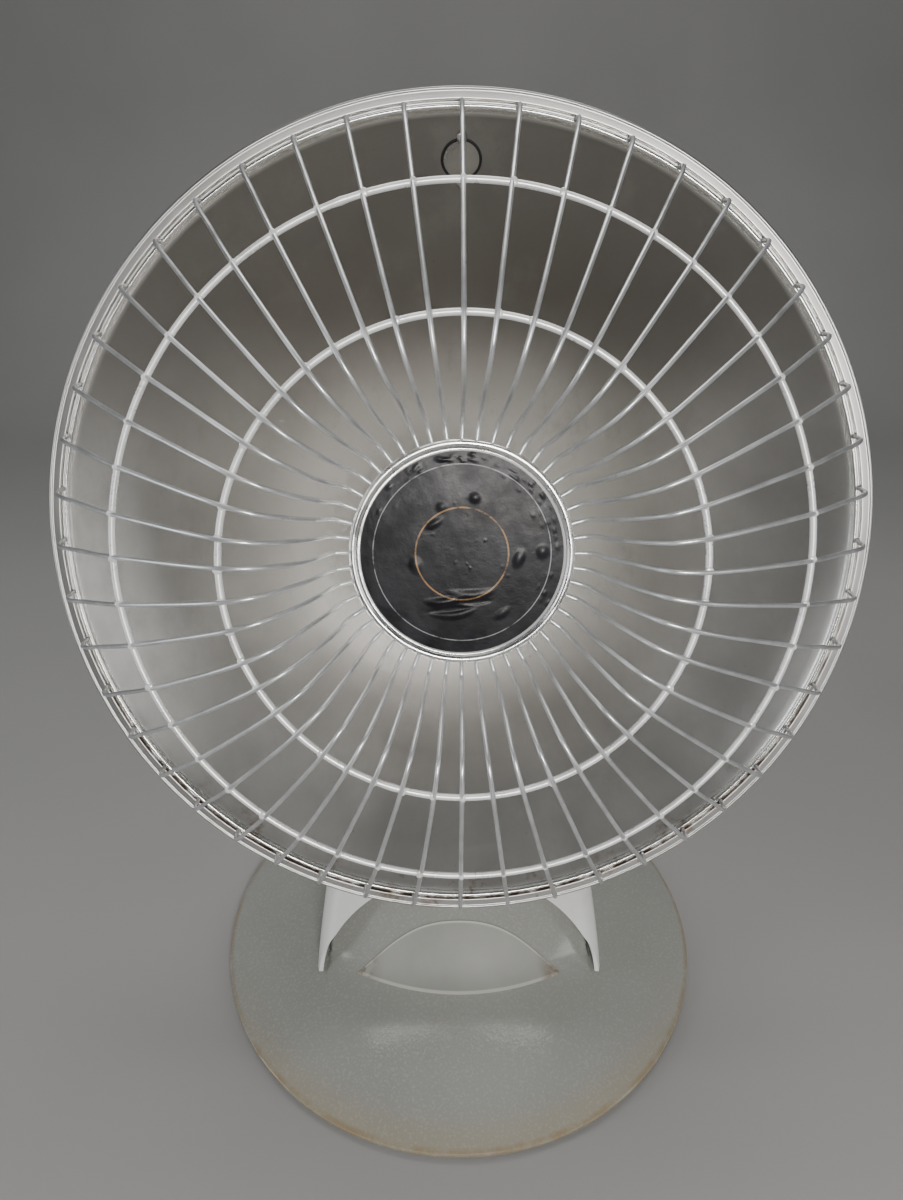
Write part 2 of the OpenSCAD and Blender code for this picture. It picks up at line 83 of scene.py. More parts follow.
# ---------------------------------------------------------------- material helpers


class Look:
    """A principled material, with helpers for procedural detail in the coordinates of a place."""

    def __init__(self, name, metallic=0.0, roughness=0.5, specular=0.5, coat=0.0, coat_roughness=0.1,
                 place=None):
        self.mat = bpy.data.materials.new(name)
        self.mat.use_nodes = True
        self.tree = self.mat.node_tree
        self.bsdf = self.tree.nodes["Principled BSDF"]
        self.bsdf.inputs["Metallic"].default_value = metallic
        self.bsdf.inputs["Roughness"].default_value = roughness
        self.bsdf.inputs["Specular IOR Level"].default_value = specular
        self.bsdf.inputs["Coat Weight"].default_value = coat
        self.bsdf.inputs["Coat Roughness"].default_value = coat_roughness
        self.coord = self.tree.nodes.new("ShaderNodeTexCoord").outputs["Object"]
        if place is not None:
            node = self.tree.nodes.new("ShaderNodeMapping")
            node.vector_type = "TEXTURE"
            node.inputs["Location"].default_value = place.to_translation()
            node.inputs["Rotation"].default_value = place.to_euler()
            self.put(node.inputs["Vector"], self.coord)
            self.coord = node.outputs[0]
        self.normal = None

    def put(self, socket, value):
        if isinstance(value, bpy.types.NodeSocket):
            self.tree.links.new(value, socket)
        elif isinstance(value, (tuple, list)) and len(value) == 3 and socket.type == "RGBA":
            socket.default_value = (*value, 1.0)
        else:
            socket.default_value = value

    def math(self, operation, a, b=0.0):
        node = self.tree.nodes.new("ShaderNodeMath")
        node.operation = operation
        self.put(node.inputs[0], a)
        self.put(node.inputs[1], b)
        return node.outputs[0]

    def times(self, a, b):
        return self.math("MULTIPLY", a, b)

    def plus(self, a, b):
        return self.math("ADD", a, b)

    def axis(self, k):
        node = self.tree.nodes.new("ShaderNodeSeparateXYZ")
        self.put(node.inputs[0], self.coord)
        return node.outputs[k]

    def radius(self):
        """Distance from the Z axis of the look's place, in metres."""
        x, y = self.axis(0), self.axis(1)
        return self.math("SQRT", self.plus(self.times(x, x), self.times(y, y)))

    def noise(self, scale, detail=4.0, rough=0.55, stretch=(1, 1, 1), shift=(0, 0, 0)):
        place = self.tree.nodes.new("ShaderNodeMapping")
        self.put(place.inputs["Vector"], self.coord)
        place.inputs["Scale"].default_value = stretch
        place.inputs["Location"].default_value = shift
        node = self.tree.nodes.new("ShaderNodeTexNoise")
        self.put(node.inputs["Vector"], place.outputs[0])
        node.inputs["Scale"].default_value = scale
        node.inputs["Detail"].default_value = detail
        node.inputs["Roughness"].default_value = rough
        return node.outputs[0]

    def line_noise(self, value, scale, detail=3.0):
        """Noise along one number, such as a radius."""
        node = self.tree.nodes.new("ShaderNodeTexNoise")
        node.noise_dimensions = "1D"
        self.put(node.inputs["W"], value)
        node.inputs["Scale"].default_value = scale
        node.inputs["Detail"].default_value = detail
        return node.outputs[0]

    def span(self, value, low, high, out_low=0.0, out_high=1.0):
        """A smooth step of value, from out_low at low to out_high at high."""
        node = self.tree.nodes.new("ShaderNodeMapRange")
        node.interpolation_type = "SMOOTHSTEP"
        sockets = ("Value", "From Min", "From Max", "To Min", "To Max")
        for socket, v in zip(sockets, (value, low, high, out_low, out_high)):
            self.put(node.inputs[socket], v)
        return node.outputs[0]

    def band(self, value, low, high, soft):
        """1 between low and high, falling to 0 over soft on each side."""
        return self.times(self.span(value, low - soft, low), self.span(value, high, high + soft, 1.0, 0.0))

    def mix(self, factor, a, b):
        node = self.tree.nodes.new("ShaderNodeMix")
        node.data_type = "RGBA"
        self.put(node.inputs["Factor"], factor)
        sockets = [s for s in node.inputs if s.type == "RGBA"]
        self.put(sockets[0], a)
        self.put(sockets[1], b)
        return [s for s in node.outputs if s.type == "RGBA"][0]

    def bump(self, height, strength, distance):
        node = self.tree.nodes.new("ShaderNodeBump")
        node.inputs["Strength"].default_value = strength
        node.inputs["Distance"].default_value = distance
        self.put(node.inputs["Height"], height)
        if self.normal is not None:
            self.put(node.inputs["Normal"], self.normal)
        self.normal = node.outputs[0]
        self.put(self.bsdf.inputs["Normal"], self.normal)

    def colour(self, value):
        self.put(self.bsdf.inputs["Base Color"], value)

    def roughness(self, value):
        self.put(self.bsdf.inputs["Roughness"], value)


def tint(colour, k):
    return tuple(min(1.0, c * k) for c in colour)


def moulded(name, colour, roughness=0.4, grain=900.0, grain_depth=0.00004, dirt=(0.42, 0.38, 0.3),
            dirt_amount=0.25):
    """Moulded plastic: slight shade drift, fine grain, dust and a few rubbed patches."""
    look = Look(name, roughness=roughness)
    drift = look.noise(9, 3)
    fine = look.noise(grain, 2)
    rubbed = look.span(look.noise(38, 5, 0.7, shift=(0.3, 0.1, 0)), 0.5, 0.75)
    dusty = look.span(look.noise(22, 6, 0.65, shift=(0.7, 0.2, 0.4)), 0.56, 0.8, 0.0, dirt_amount)
    base = look.mix(look.span(drift, 0.3, 0.7), tint(colour, 0.94), tint(colour, 1.04))
    look.colour(look.mix(dusty, base, dirt))
    worn = look.span(rubbed, 0, 1, roughness, roughness - 0.09)
    look.roughness(look.plus(worn, look.times(dusty, 0.5)))
    look.bump(fine, 0.5, grain_depth)
    look.bump(drift, 0.25, 0.0004)
    return look.mat


def plated(name, colour, roughness=0.3, brushed=0.5, spots=(0.2, 0.14, 0.1), spot_amount=0.35,
           place=None):
    """Plated or drawn metal: fine drawn lines, blotchy roughness, small tarnish spots."""
    look = Look(name, metallic=1.0, roughness=roughness, place=place)
    lines = look.noise(700, 3, 0.6, stretch=(1, 1, 0.06))
    blotch = look.noise(60, 5, 0.6)
    marks = look.span(look.noise(240, 5, 0.7, shift=(0.2, 0.9, 0.1)), 0.6, 0.76, 0.0, spot_amount)
    base = look.mix(look.span(blotch, 0.3, 0.7), tint(colour, 0.88), tint(colour, 1.05))
    look.colour(look.mix(marks, base, spots))
    uneven = look.span(blotch, 0.3, 0.7, roughness - 0.06, roughness + 0.1)
    look.roughness(look.plus(uneven, look.times(marks, 0.6)))
    look.bump(lines, brushed * 0.4, 0.00005)
    return look.mat


# ---------------------------------------------------------------- materials


def make_reflector_look():
    """Spun aluminium: turning lines, smears, a painted glow round the cap, painted shade over the top, a
    white-mottled bead and a rougher groove with painted shade.
    """
    look = Look("spun_aluminium", metallic=1.0, roughness=0.4, place=DISH)
    r, y = look.radius(), look.axis(1)
    lines = look.line_noise(r, 900, 4)
    wide_lines = look.line_noise(r, 130, 2)
    cloud = look.noise(14, 5, 0.6)
    smear = look.noise(34, 6, 0.68, stretch=(1, 0.55, 1), shift=(0.4, 0.1, 0.2))
    mottle = look.noise(260, 5, 0.7)
    speck = look.span(look.noise(420, 3, 0.8, shift=(0.1, 0.5, 0.3)), 0.69, 0.76)
    base = look.mix(look.span(cloud, 0.3, 0.7), (0.53, 0.52, 0.50), (0.61, 0.60, 0.58))
    # Painted highlight: the bowl's colour is made brighter round the cap.
    base = look.mix(look.span(r, 0.06, 0.12, 0.9, 0.0), base, (0.88, 0.87, 0.84))
    # Painted shade: the top of the bowl is made darker.
    upper = look.times(look.span(y, 0.03, 0.12), look.span(r, 0.08, 0.13))
    base = look.mix(look.times(upper, 0.85), base, (0.27, 0.255, 0.235))
    base = look.mix(look.span(smear, 0.52, 0.72, 0.0, 0.4), base, (0.42, 0.41, 0.39))
    flange = look.span(r, 0.94 * DISH_R * MM, 0.948 * DISH_R * MM)
    base = look.mix(look.times(flange, 0.85), base, (0.66, 0.66, 0.65))
    base = look.mix(look.times(speck, 0.5), base, (0.16, 0.13, 0.11))
    bead = look.band(r, 0.949 * DISH_R * MM, 0.966 * DISH_R * MM, 0.0006)
    bead_colour = look.mix(look.span(mottle, 0.3, 0.7), (0.8, 0.79, 0.76), (0.95, 0.95, 0.94))
    base = look.mix(look.times(bead, 0.8), base, bead_colour)
    # Painted shade: dark brown patches in the groove, strongest towards the bottom; the same mask also
    # roughens the groove.
    low = look.span(y, -0.13, -0.02, 1.0, 0.12)
    channel = look.band(r, 0.9655 * DISH_R * MM, 0.9725 * DISH_R * MM, 0.0006)
    patches = look.span(look.noise(120, 5, 0.7, shift=(0, 0.2, 0)), 0.36, 0.6)
    groove_shade = look.times(channel, look.times(low, patches))
    base = look.mix(look.times(groove_shade, 0.85), base, (0.13, 0.08, 0.05))
    near_rim = look.band(r, 0.93 * DISH_R * MM, 0.985 * DISH_R * MM, 0.004)
    stain = look.times(near_rim, look.span(look.noise(70, 6, 0.72, shift=(0.9, 0.2, 0)), 0.53, 0.68))
    stain = look.times(stain, look.span(y, -0.17, -0.08, 0.7, 0.0))
    base = look.mix(stain, base, (0.30, 0.22, 0.15))
    look.colour(base)
    rough = look.span(cloud, 0.3, 0.7, 0.34, 0.37)
    rough = look.plus(rough, look.span(smear, 0.52, 0.72, 0.0, 0.05))
    rough = look.math("SUBTRACT", rough, look.times(bead, 0.14))
    look.roughness(look.plus(rough, look.times(groove_shade, 0.4)))
    look.bump(lines, 0.22, 0.00006)
    look.bump(wide_lines, 0.14, 0.0003)
    look.bump(look.noise(30, 3, 0.5), 0.06, 0.0008)
    look.bump(mottle, 0.12, 0.00008)
    return look.mat


def make_label_look():
    """Black film over the cap, with two plain thin rings and a grey edge."""
    look = Look("cap_film", roughness=0.4, specular=0.3, coat=0.1, coat_roughness=0.2, place=DISH)
    r = look.times(look.radius(), 1000.0)
    fine = look.noise(900, 3, 0.6)
    cloud = look.noise(60, 4)
    base = look.mix(look.span(cloud, 0.35, 0.65), (0.012, 0.012, 0.015), (0.034, 0.034, 0.04))
    ring = look.band(r, 37.9, 38.25, 0.12)
    worn = look.span(look.noise(120, 4, 0.7), 0.3, 0.55)
    base = look.mix(look.times(look.times(ring, worn), 0.8), base, (0.42, 0.42, 0.44))
    inner = look.times(look.band(r, 19.6, 20.2, 0.12), worn)
    base = look.mix(look.times(inner, 0.6), base, (0.62, 0.38, 0.18))
    edge = look.span(r, 43.3, 43.7)
    base = look.mix(edge, base, (0.5, 0.5, 0.5))
    look.colour(base)
    look.roughness(look.span(look.noise(90, 5, 0.6), 0.3, 0.7, 0.3, 0.46))
    look.bump(fine, 0.25, 0.00008)
    look.bump(look.noise(230, 4, 0.6), 0.3, 0.0004)
    return look.mat


def make_lens_look():
    """Milky pebbled plastic with painted glints on the pebble tops, yellowed towards the front edge and
    dusty.
    """
    look = Look("milky_lens", roughness=0.09, specular=0.6)
    r, y = look.radius(), look.axis(1)
    pebble = look.noise(700, 2, 0.5)
    wide = look.noise(170, 3, 0.5)
    cloud = look.noise(8, 3)
    body = (0.40, 0.405, 0.385)
    base = look.mix(look.span(cloud, 0.3, 0.7), tint(body, 0.96), tint(body, 1.04))
    # Painted highlight: the tops of the pebbles are made lighter, as glints.
    base = look.mix(look.span(pebble, 0.5, 0.68, 0.0, 0.35), base, tint(body, 1.35))
    edge = look.times(look.span(r, 0.128, 0.149), look.span(y, -0.03, -0.13))
    base = look.mix(look.times(edge, 0.28), base, (0.46, 0.36, 0.19))
    line = look.times(look.span(r, 0.1465, 0.1492), look.span(look.noise(60, 5, 0.7), 0.3, 0.6))
    base = look.mix(look.times(line, 0.5), base, (0.33, 0.24, 0.12))
    dust = look.span(look.noise(45, 7, 0.75), 0.6, 0.78, 0.0, 0.2)
    base = look.mix(dust, base, (0.35, 0.33, 0.28))
    speck = look.span(look.noise(330, 3, 0.8, shift=(0.4, 0.5, 0.1)), 0.72, 0.78, 0.0, 0.5)
    base = look.mix(speck, base, (0.2, 0.17, 0.12))
    look.colour(base)
    look.bsdf.inputs["Subsurface Weight"].default_value = 0.25
    look.bsdf.inputs["Subsurface Radius"].default_value = (1.0, 1.0, 0.9)
    look.bsdf.inputs["Subsurface Scale"].default_value = 0.004
    look.roughness(look.plus(look.span(look.noise(30, 5, 0.6), 0.3, 0.7, 0.07, 0.12), dust))
    look.bump(pebble, 0.26, 0.00025)
    look.bump(wide, 0.12, 0.0004)
    return look.mat


def make_sticker_look():
    """Blank grey film with a lighter border and browned corners."""
    look = Look("sticker_film", roughness=0.55, specular=0.3)
    x, y = look.axis(0), look.axis(1)
    s = look.math("DIVIDE", x, STICKER_HALF * MM)
    s2 = look.times(s, s)
    lower = look.plus(STICKER_LOW * MM, look.times(s2, STICKER_LOW_BOW * MM))
    s3 = look.times(s2, look.math("ABSOLUTE", s))
    upper = look.math("SUBTRACT", STICKER_TOP * MM, look.times(s3, STICKER_TOP_BOW * MM))
    inside = look.math("MINIMUM", look.math("SUBTRACT", y, lower), look.math("SUBTRACT", upper, y))
    rim = look.span(inside, 0.0009, 0.0015, 1.0, 0.0)
    base = look.mix(look.span(look.noise(20, 4), 0.3, 0.7), (0.38, 0.385, 0.365), (0.44, 0.445, 0.42))
    base = look.mix(look.times(rim, 0.8), base, (0.66, 0.66, 0.61))
    towards_tip = look.span(look.math("ABSOLUTE", x), 0.044, 0.059)
    corner = look.times(towards_tip, look.span(look.noise(140, 6, 0.7), 0.3, 0.6))
    base = look.mix(look.times(corner, 0.75), base, (0.2, 0.12, 0.06))
    look.colour(base)
    look.roughness(look.span(look.noise(60, 4), 0.3, 0.7, 0.5, 0.64))
    look.bump(look.noise(400, 3), 0.15, 0.0001)
    return look.mat


def make_wire_look(name, colour, roughness, stain, metallic=1.0):
    """Plated wire with small spots, and painted shade where it ends in the rim's groove."""
    look = Look(name, metallic=metallic, roughness=roughness, place=DISH)
    r = look.radius()
    blotch = look.noise(90, 5, 0.6)
    spots = look.span(look.noise(300, 4, 0.75, shift=(0.2, 0.2, 0)), 0.62, 0.74, 0.0, 0.5)
    base = look.mix(look.span(blotch, 0.3, 0.7), tint(colour, 0.9), tint(colour, 1.06))
    base = look.mix(look.times(spots, stain), base, (0.3, 0.24, 0.18))
    # Painted shade: the wire's end in the rim's groove is made dark brown, scaled by stain like the spots;
    # the same mask also roughens it.
    end = look.times(look.span(r, 0.187, 0.193), look.span(look.noise(200, 5, 0.7), 0.35, 0.6))
    base = look.mix(look.times(end, stain), base, (0.2, 0.13, 0.08))
    look.colour(base)
    uneven = look.span(blotch, 0.3, 0.7, roughness - 0.05, roughness + 0.08)
    look.roughness(look.plus(uneven, look.times(end, 0.25)))
    look.bump(look.noise(900, 3), 0.2, 0.00005)
    return look.mat


WHITE = (0.86, 0.865, 0.85)
LOOKS = {
    "reflector": make_reflector_look(),
    "guard_wire": make_wire_look("nickel_wire", (0.78, 0.79, 0.80), 0.36, 0.8, 0.8),
    "guard_ring": make_wire_look("bright_ring", (0.94, 0.945, 0.95), 0.3, 0.4, 0.3),
    "cap_metal": plated("rolled_bezel", (0.86, 0.86, 0.85), 0.26, 0.5, place=DISH),
    "cap_label": make_label_look(),
    "shield_metal": plated("shield_sheet", (0.7, 0.69, 0.67), 0.34),
    "element_ceramic": moulded(
        "fired_ceramic", (0.74, 0.7, 0.62), 0.62, 500, 0.00012, (0.35, 0.26, 0.18), 0.5),
    "heating_wire": plated("oxidised_coil", (0.3, 0.25, 0.22), 0.5, 0.3, (0.12, 0.1, 0.1), 0.6),
    "plated_steel": plated("zinc_steel", (0.66, 0.66, 0.64), 0.32),
    "thermostat_metal": plated("thermostat_shell", (0.46, 0.445, 0.42), 0.3),
    "bracket_steel": plated("bracket_sheet", (0.5, 0.5, 0.51), 0.4, 0.8),
    "washer_fibre": moulded("fibre_washer", (0.07, 0.06, 0.055), 0.8, 700, 0.0001),
    "white_plastic": moulded("white_moulding", WHITE, 0.36, 800, 0.00003, (0.5, 0.45, 0.36), 0.3),
    "lens_plastic": make_lens_look(),
    "base_plastic": moulded("base_moulding", (0.2, 0.2, 0.21), 0.55, 600, 0.0001),
    "foot_rubber": moulded("foot_rubber", (0.05, 0.05, 0.05), 0.85, 900, 0.0001, (0.3, 0.28, 0.25), 0.4),
    "ballast_iron": moulded("cast_ballast", (0.1, 0.1, 0.105), 0.7, 260, 0.0004, (0.25, 0.13, 0.07), 0.6),
    "lamp_glass": moulded("frosted_bulb", (0.85, 0.83, 0.76), 0.3, 900, 0.00003),
    "lamp_brass": plated("lamp_shell", (0.72, 0.55, 0.3), 0.3),
    "socket_ceramic": moulded("glazed_socket", (0.8, 0.78, 0.72), 0.25, 500, 0.00005),
    "sticker_film": make_sticker_look(),
    "black_plastic": moulded(
        "black_moulding", (0.03, 0.03, 0.032), 0.5, 700, 0.00006, (0.2, 0.19, 0.17), 0.35),
    "spring_steel": plated("spring_wire", (0.6, 0.6, 0.6), 0.25),
    "knob_plastic": moulded(
        "knob_moulding", (0.06, 0.06, 0.065), 0.42, 700, 0.00006, (0.25, 0.24, 0.22), 0.3),
    "pointer_paint": moulded("pointer_paint", (0.85, 0.85, 0.82), 0.45, 600, 0.00004),
}
NODE_SLOT = {row["node"]: row["material_slot"] for row in frame["record"]["subparts"]}
BODY_OF = {n: b for b, names in frame["record"]["behaviour"]["bodies"].items() for n in names}

# ---------------------------------------------------------------- mesh helpers


def finish_piece(obj, look, body, nodes, place=HERE):
    """Puts a piece in place with its look, on its body, standing for its CAD nodes."""
    obj.matrix_world = place
    obj.data.materials.clear()
    obj.data.materials.append(LOOKS[look])
    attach(obj, body)
    if nodes:
        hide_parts(*nodes)
    return obj


def add(name, points, faces, look, body, nodes=(), place=HERE, sharp=40.0):
    """A mesh piece from points in millimetres, smooth except at edges sharper than the given angle."""
    mesh = bpy.data.meshes.new(name)
    mesh.from_pydata([(p[0] * MM, p[1] * MM, p[2] * MM) for p in points], [], faces)
    obj = bpy.data.objects.new(name, mesh)
    bpy.context.scene.collection.objects.link(obj)
    bm = bmesh.new()
    bm.from_mesh(mesh)
    bmesh.ops.remove_doubles(bm, verts=bm.verts, dist=1e-7)
    bmesh.ops.recalc_face_normals(bm, faces=bm.faces)
    bm.to_mesh(mesh)
    bm.free()
    for p in mesh.polygons:
        p.use_smooth = True
    mesh.set_sharp_from_angle(angle=math.radians(sharp))
    return finish_piece(obj, look, body, nodes, place)


def bevel(obj, width, segments=3, angle=35.0):
    """Rounds a piece's sharp edges, width in millimetres."""
    mod = obj.modifiers.new("edges", "BEVEL")
    mod.width = width * MM
    mod.segments = segments
    mod.limit_method = "ANGLE"
    mod.angle_limit = math.radians(angle)
    mod.use_clamp_overlap = True
    mod.harden_normals = False
    shading = obj.modifiers.new("normals", "WEIGHTED_NORMAL")
    shading.keep_sharp = True


def refine(node, width):
    """The CAD node's own shape with rounded edges and clean shading, standing for the node."""
    source = frame["nodes"][node]
    mesh = bpy.data.meshes.new(node + "_fine")
    bm = bmesh.new()
    bm.from_mesh(source.data)
    bmesh.ops.remove_doubles(bm, verts=bm.verts, dist=2e-6)
    bmesh.ops.dissolve_limit(bm, angle_limit=math.radians(1), verts=bm.verts, edges=bm.edges)
    bmesh.ops.recalc_face_normals(bm, faces=bm.faces)
    bm.to_mesh(mesh)
    bm.free()
    for p in mesh.polygons:
        p.use_smooth = True
    mesh.set_sharp_from_angle(angle=math.radians(38))
    obj = bpy.data.objects.new(node + "_fine", mesh)
    bpy.context.scene.collection.objects.link(obj)
    finish_piece(obj, NODE_SLOT[node], BODY_OF[node], (node,))
    if width:
        bevel(obj, width, 2)


def rounded(profile, default=0.3, steps=4):
    """A closed [r, z] outline with its corners rounded; a point may carry its own radius as a third value."""
    out = []
    n = len(profile)
    for i, q in enumerate(profile):
        p = Vector(q[:2])
        radius = q[2] if len(q) > 2 else default
        a, b = Vector(profile[i - 1][:2]) - p, Vector(profile[(i + 1) % n][:2]) - p
        if radius <= 0 or p.x <= 1e-6 or a.length < 1e-6 or b.length < 1e-6 or a.angle(b) > math.radians(172):
            out.append((p.x, p.y))
            continue
        reach = min(radius, a.length * 0.45, b.length * 0.45)
        start, end = p + a.normalized() * reach, p + b.normalized() * reach
        for k in range(steps + 1):
            t = k / steps
            c = start * (1 - t) ** 2 + p * 2 * t * (1 - t) + end * t * t
            out.append((c.x, c.y))
    return out


def lathe(outline, around=192, wobble=None):
    """Points and faces of a closed outline turned about Z."""
    points, faces = [], []
    m = len(outline)
    for k in range(around):
        a = 2 * math.pi * k / around
        for r, z in outline:
            rr, zz = wobble(r, z, a) if wobble else (r, z)
            points.append((rr * math.cos(a), rr * math.sin(a), zz))
    for k in range(around):
        b = (k + 1) % around
        for i in range(m):
            j = (i + 1) % m
            if outline[i][0] <= 1e-6 and outline[j][0] <= 1e-6:
                continue
            faces.append((k * m + i, b * m + i, b * m + j, k * m + j))
    return points, faces


def tube(path, radius, sides=12, closed=False, up=Vector((0, 0, 1))):
    """Points and faces of a round bar along a path, with domed ends; radius is a number or one per point."""
    path = [Vector(p) for p in path]
    n = len(path)
    radii = radius if isinstance(radius, list) else [radius] * n
    points, faces = [], []
    side = None
    frames = []
    for i in range(n):
        before = path[(i - 1) % n] if closed or i > 0 else path[i]
        after = path[(i + 1) % n] if closed or i < n - 1 else path[i]
        run = (after - before).normalized()
        if side is None:
            side = run.cross(up)
            side = side if side.length > 1e-4 else run.cross(Vector((1, 0, 0)))
        side = (side - run * side.dot(run)).normalized()
        frames.append((path[i], run, side, run.cross(side), radii[i]))
    if not closed:
        first, last = frames[0], frames[-1]
        domed = []
        for f, s in ((first, -1), (last, 1)):
            for a in (70, 40):
                c, q = math.cos(math.radians(a)), math.sin(math.radians(a))
                domed.append((f[0] + f[1] * s * f[4] * q, f[1], f[2], f[3], f[4] * c))
        frames = domed[:2] + frames + [domed[3], domed[2]]
    for at, _, u, v, r in frames:
        for k in range(sides):
            a = 2 * math.pi * k / sides
            points.append(at + (u * math.cos(a) + v * math.sin(a)) * r)
    m = len(frames)
    for i in range(m if closed else m - 1):
        j = (i + 1) % m
        for k in range(sides):
            b = (k + 1) % sides
            faces.append((i * sides + k, i * sides + b, j * sides + b, j * sides + k))
    if not closed:
        faces.append(tuple(range(sides)))
        faces.append(tuple((m - 1) * sides + k for k in reversed(range(sides))))
    return points, faces


def join(parts):
    """Several parts' points and faces as one."""
    points, faces = [], []
    for p, f in parts:
        base = len(points)
        points.extend(p)
        faces.extend(tuple(i + base for i in face) for face in f)
    return points, faces


def thick(outer, inner):
    """A closed sheet between two grids of points, grid[column][row]."""
    columns, rows = len(outer), len(outer[0])
    points = [p for column in outer for p in column] + [p for column in inner for p in column]
    base = columns * rows
    faces = []
    for c in range(columns - 1):
        for r in range(rows - 1):
            a = c * rows + r
            faces.append((a, a + 1, a + rows + 1, a + rows))
            b = a + base
            faces.append((b, b + rows, b + rows + 1, b + 1))
    edge = [(c * rows, (c + 1) * rows) for c in range(columns - 1)]
    edge += [((columns - 1) * rows + r, (columns - 1) * rows + r + 1) for r in range(rows - 1)]
    edge += [(c * rows + rows - 1, (c - 1) * rows + rows - 1) for c in range(columns - 1, 0, -1)]
    edge += [(r, r - 1) for r in range(rows - 1, 0, -1)]
    faces += [(a, b, b + base, a + base) for a, b in edge]
    return points, faces


def cut(obj, cutters):
    """Cuts the cutter meshes, given as points and faces in the piece's own millimetres, out of a piece."""
    points, faces = join(cutters)
    mesh = bpy.data.meshes.new("cutter")
    mesh.from_pydata([tuple(c * MM for c in p) for p in points], [], faces)
    tool = bpy.data.objects.new("cutter", mesh)
    bpy.context.scene.collection.objects.link(tool)
    bm = bmesh.new()
    bm.from_mesh(mesh)
    bmesh.ops.recalc_face_normals(bm, faces=bm.faces)
    bm.to_mesh(mesh)
    bm.free()
    tool.matrix_world = obj.matrix_world
    bpy.context.view_layer.update()
    mod = obj.modifiers.new("cut", "BOOLEAN")
    mod.operation = "DIFFERENCE"
    mod.solver = "EXACT"
    mod.object = tool
    scene_graph = bpy.context.evaluated_depsgraph_get()
    cut_mesh = bpy.data.meshes.new_from_object(obj.evaluated_get(scene_graph), depsgraph=scene_graph)
    obj.modifiers.remove(mod)
    obj.data = cut_mesh
    bpy.data.objects.remove(tool)
    cut_mesh.set_sharp_from_angle(angle=math.radians(40))


def unit_circle(count):
    angles = [2 * math.pi * k / count for k in range(count)]
    return [(math.cos(a), math.sin(a)) for a in angles]


def rod(r, z0, z1, sides=48):
    """A plain round cutter or boss about Z."""
    ring = [(r * c, r * s) for c, s in unit_circle(sides)]
    points = [(x, y, z0) for x, y in ring] + [(x, y, z1) for x, y in ring]
    faces = [tuple(range(sides)), tuple(range(2 * sides - 1, sides - 1, -1))]
    faces += [(k, (k + 1) % sides, sides + (k + 1) % sides, sides + k) for k in range(sides)]
    return points, faces


def block(x0, x1, y0, y1, z0, z1):
    points = [(x, y, z) for x in (x0, x1) for y in (y0, y1) for z in (z0, z1)]
    faces = [(0, 1, 3, 2), (4, 6, 7, 5), (0, 4, 5, 1), (2, 3, 7, 6), (0, 2, 6, 4), (1, 5, 7, 3)]
    return points, faces


def moved(part, matrix):
    """A part's points and faces after a move in millimetres."""
    return [matrix @ Vector(p) for p in part[0]], part[1]


def blend_four(a, b, c, d, f):
    """Catmull-Rom value a fraction f of the way from b to c."""
    second, third = 2 * a - 5 * b + 4 * c - d, 3 * b - a - 3 * c + d
    return 0.5 * (2 * b + (c - a) * f + second * f * f + third * f ** 3)


def curve(control, steps):
    """Catmull-Rom curve through 2-D points."""
    pts = [Vector(p) for p in control]
    out = []
    for i in range(len(pts) - 1):
        a, b, c, d = pts[max(0, i - 1)], pts[i], pts[i + 1], pts[min(len(pts) - 1, i + 2)]
        for k in range(steps):
            out.append(blend_four(a, b, c, d, k / steps))
    out.append(pts[-1])
    return out


# ---------------------------------------------------------------- dish


def bowl_z(r):
    """Height of the bowl's parabola, from the plane of the rim."""
    return -DEPTH + DEPTH * (r / BOWL_R) ** 2


SHEET = 1.2
R = DISH_R
WIRE_R, RING_R = 1.0, 1.4
THERMO_HOLE_R, KNOB_HOLE_R, GLAND_HOLE_R = 8.9, 5, 6.5
bowl_front = [(BOWL_R * i / 64, bowl_z(BOWL_R * i / 64), 0) for i in range(65)]
bowl_back = [(BOWL_R * i / 64, bowl_z(BOWL_R * i / 64) - SHEET, 0) for i in range(64, -1, -1)]
lip = [
    (BOWL_R + 0.6, 0.9, 0.6), (BOWL_R + 1.5, 1.75, 0.9), (BOWL_R + 2.5, 1.4, 0.8), (BOWL_R + 3, -1.4, 0.5),
    (BOWL_R + 4.4, -1.4, 0.5), (BOWL_R + 4.7, 0.4, 0.5), (R - 1.7, 0.4, 0.3), (R - 1.2, 1.05, 0.5),
    (R - 0.1, 0.8, 0.6), (R, -3, 0.5), (R - 1.2, -3, 0.4), (R - 1.4, -0.8, 0.4), (BOWL_R + 5.6, -0.8, 0.4),
    (BOWL_R + 5.4, -2.6, 0.5), (BOWL_R + 1.8, -2.6, 0.5), (BOWL_R + 1, -0.2, 0.6)]


def dish_wobble(r, z, a):
    """Hand-handled rim: a few tenths of a millimetre of waviness near the edge."""
    k = max(0.0, (r - 150) / 47) ** 2
    return r, z + k * (0.22 * math.sin(3 * a + 1.1) + 0.12 * math.sin(7 * a) + 0.06 * math.sin(19 * a))


bowl = lathe(rounded(bowl_front + lip + bowl_back, 0), 288, dish_wobble)
reflector = add("reflector_bowl", *bowl, "reflector", "head", ("reflector",), DISH, 50)
THERMO_R = 0.873 * R
slope = math.atan(2 * DEPTH * THERMO_R / BOWL_R ** 2)
THERMO = Matrix.Translation((0, THERMO_R, bowl_z(THERMO_R))) @ Matrix.Rotation(slope, 4, "X")
cut(reflector, [moved(rod(THERMO_HOLE_R, -6, 8), THERMO)])

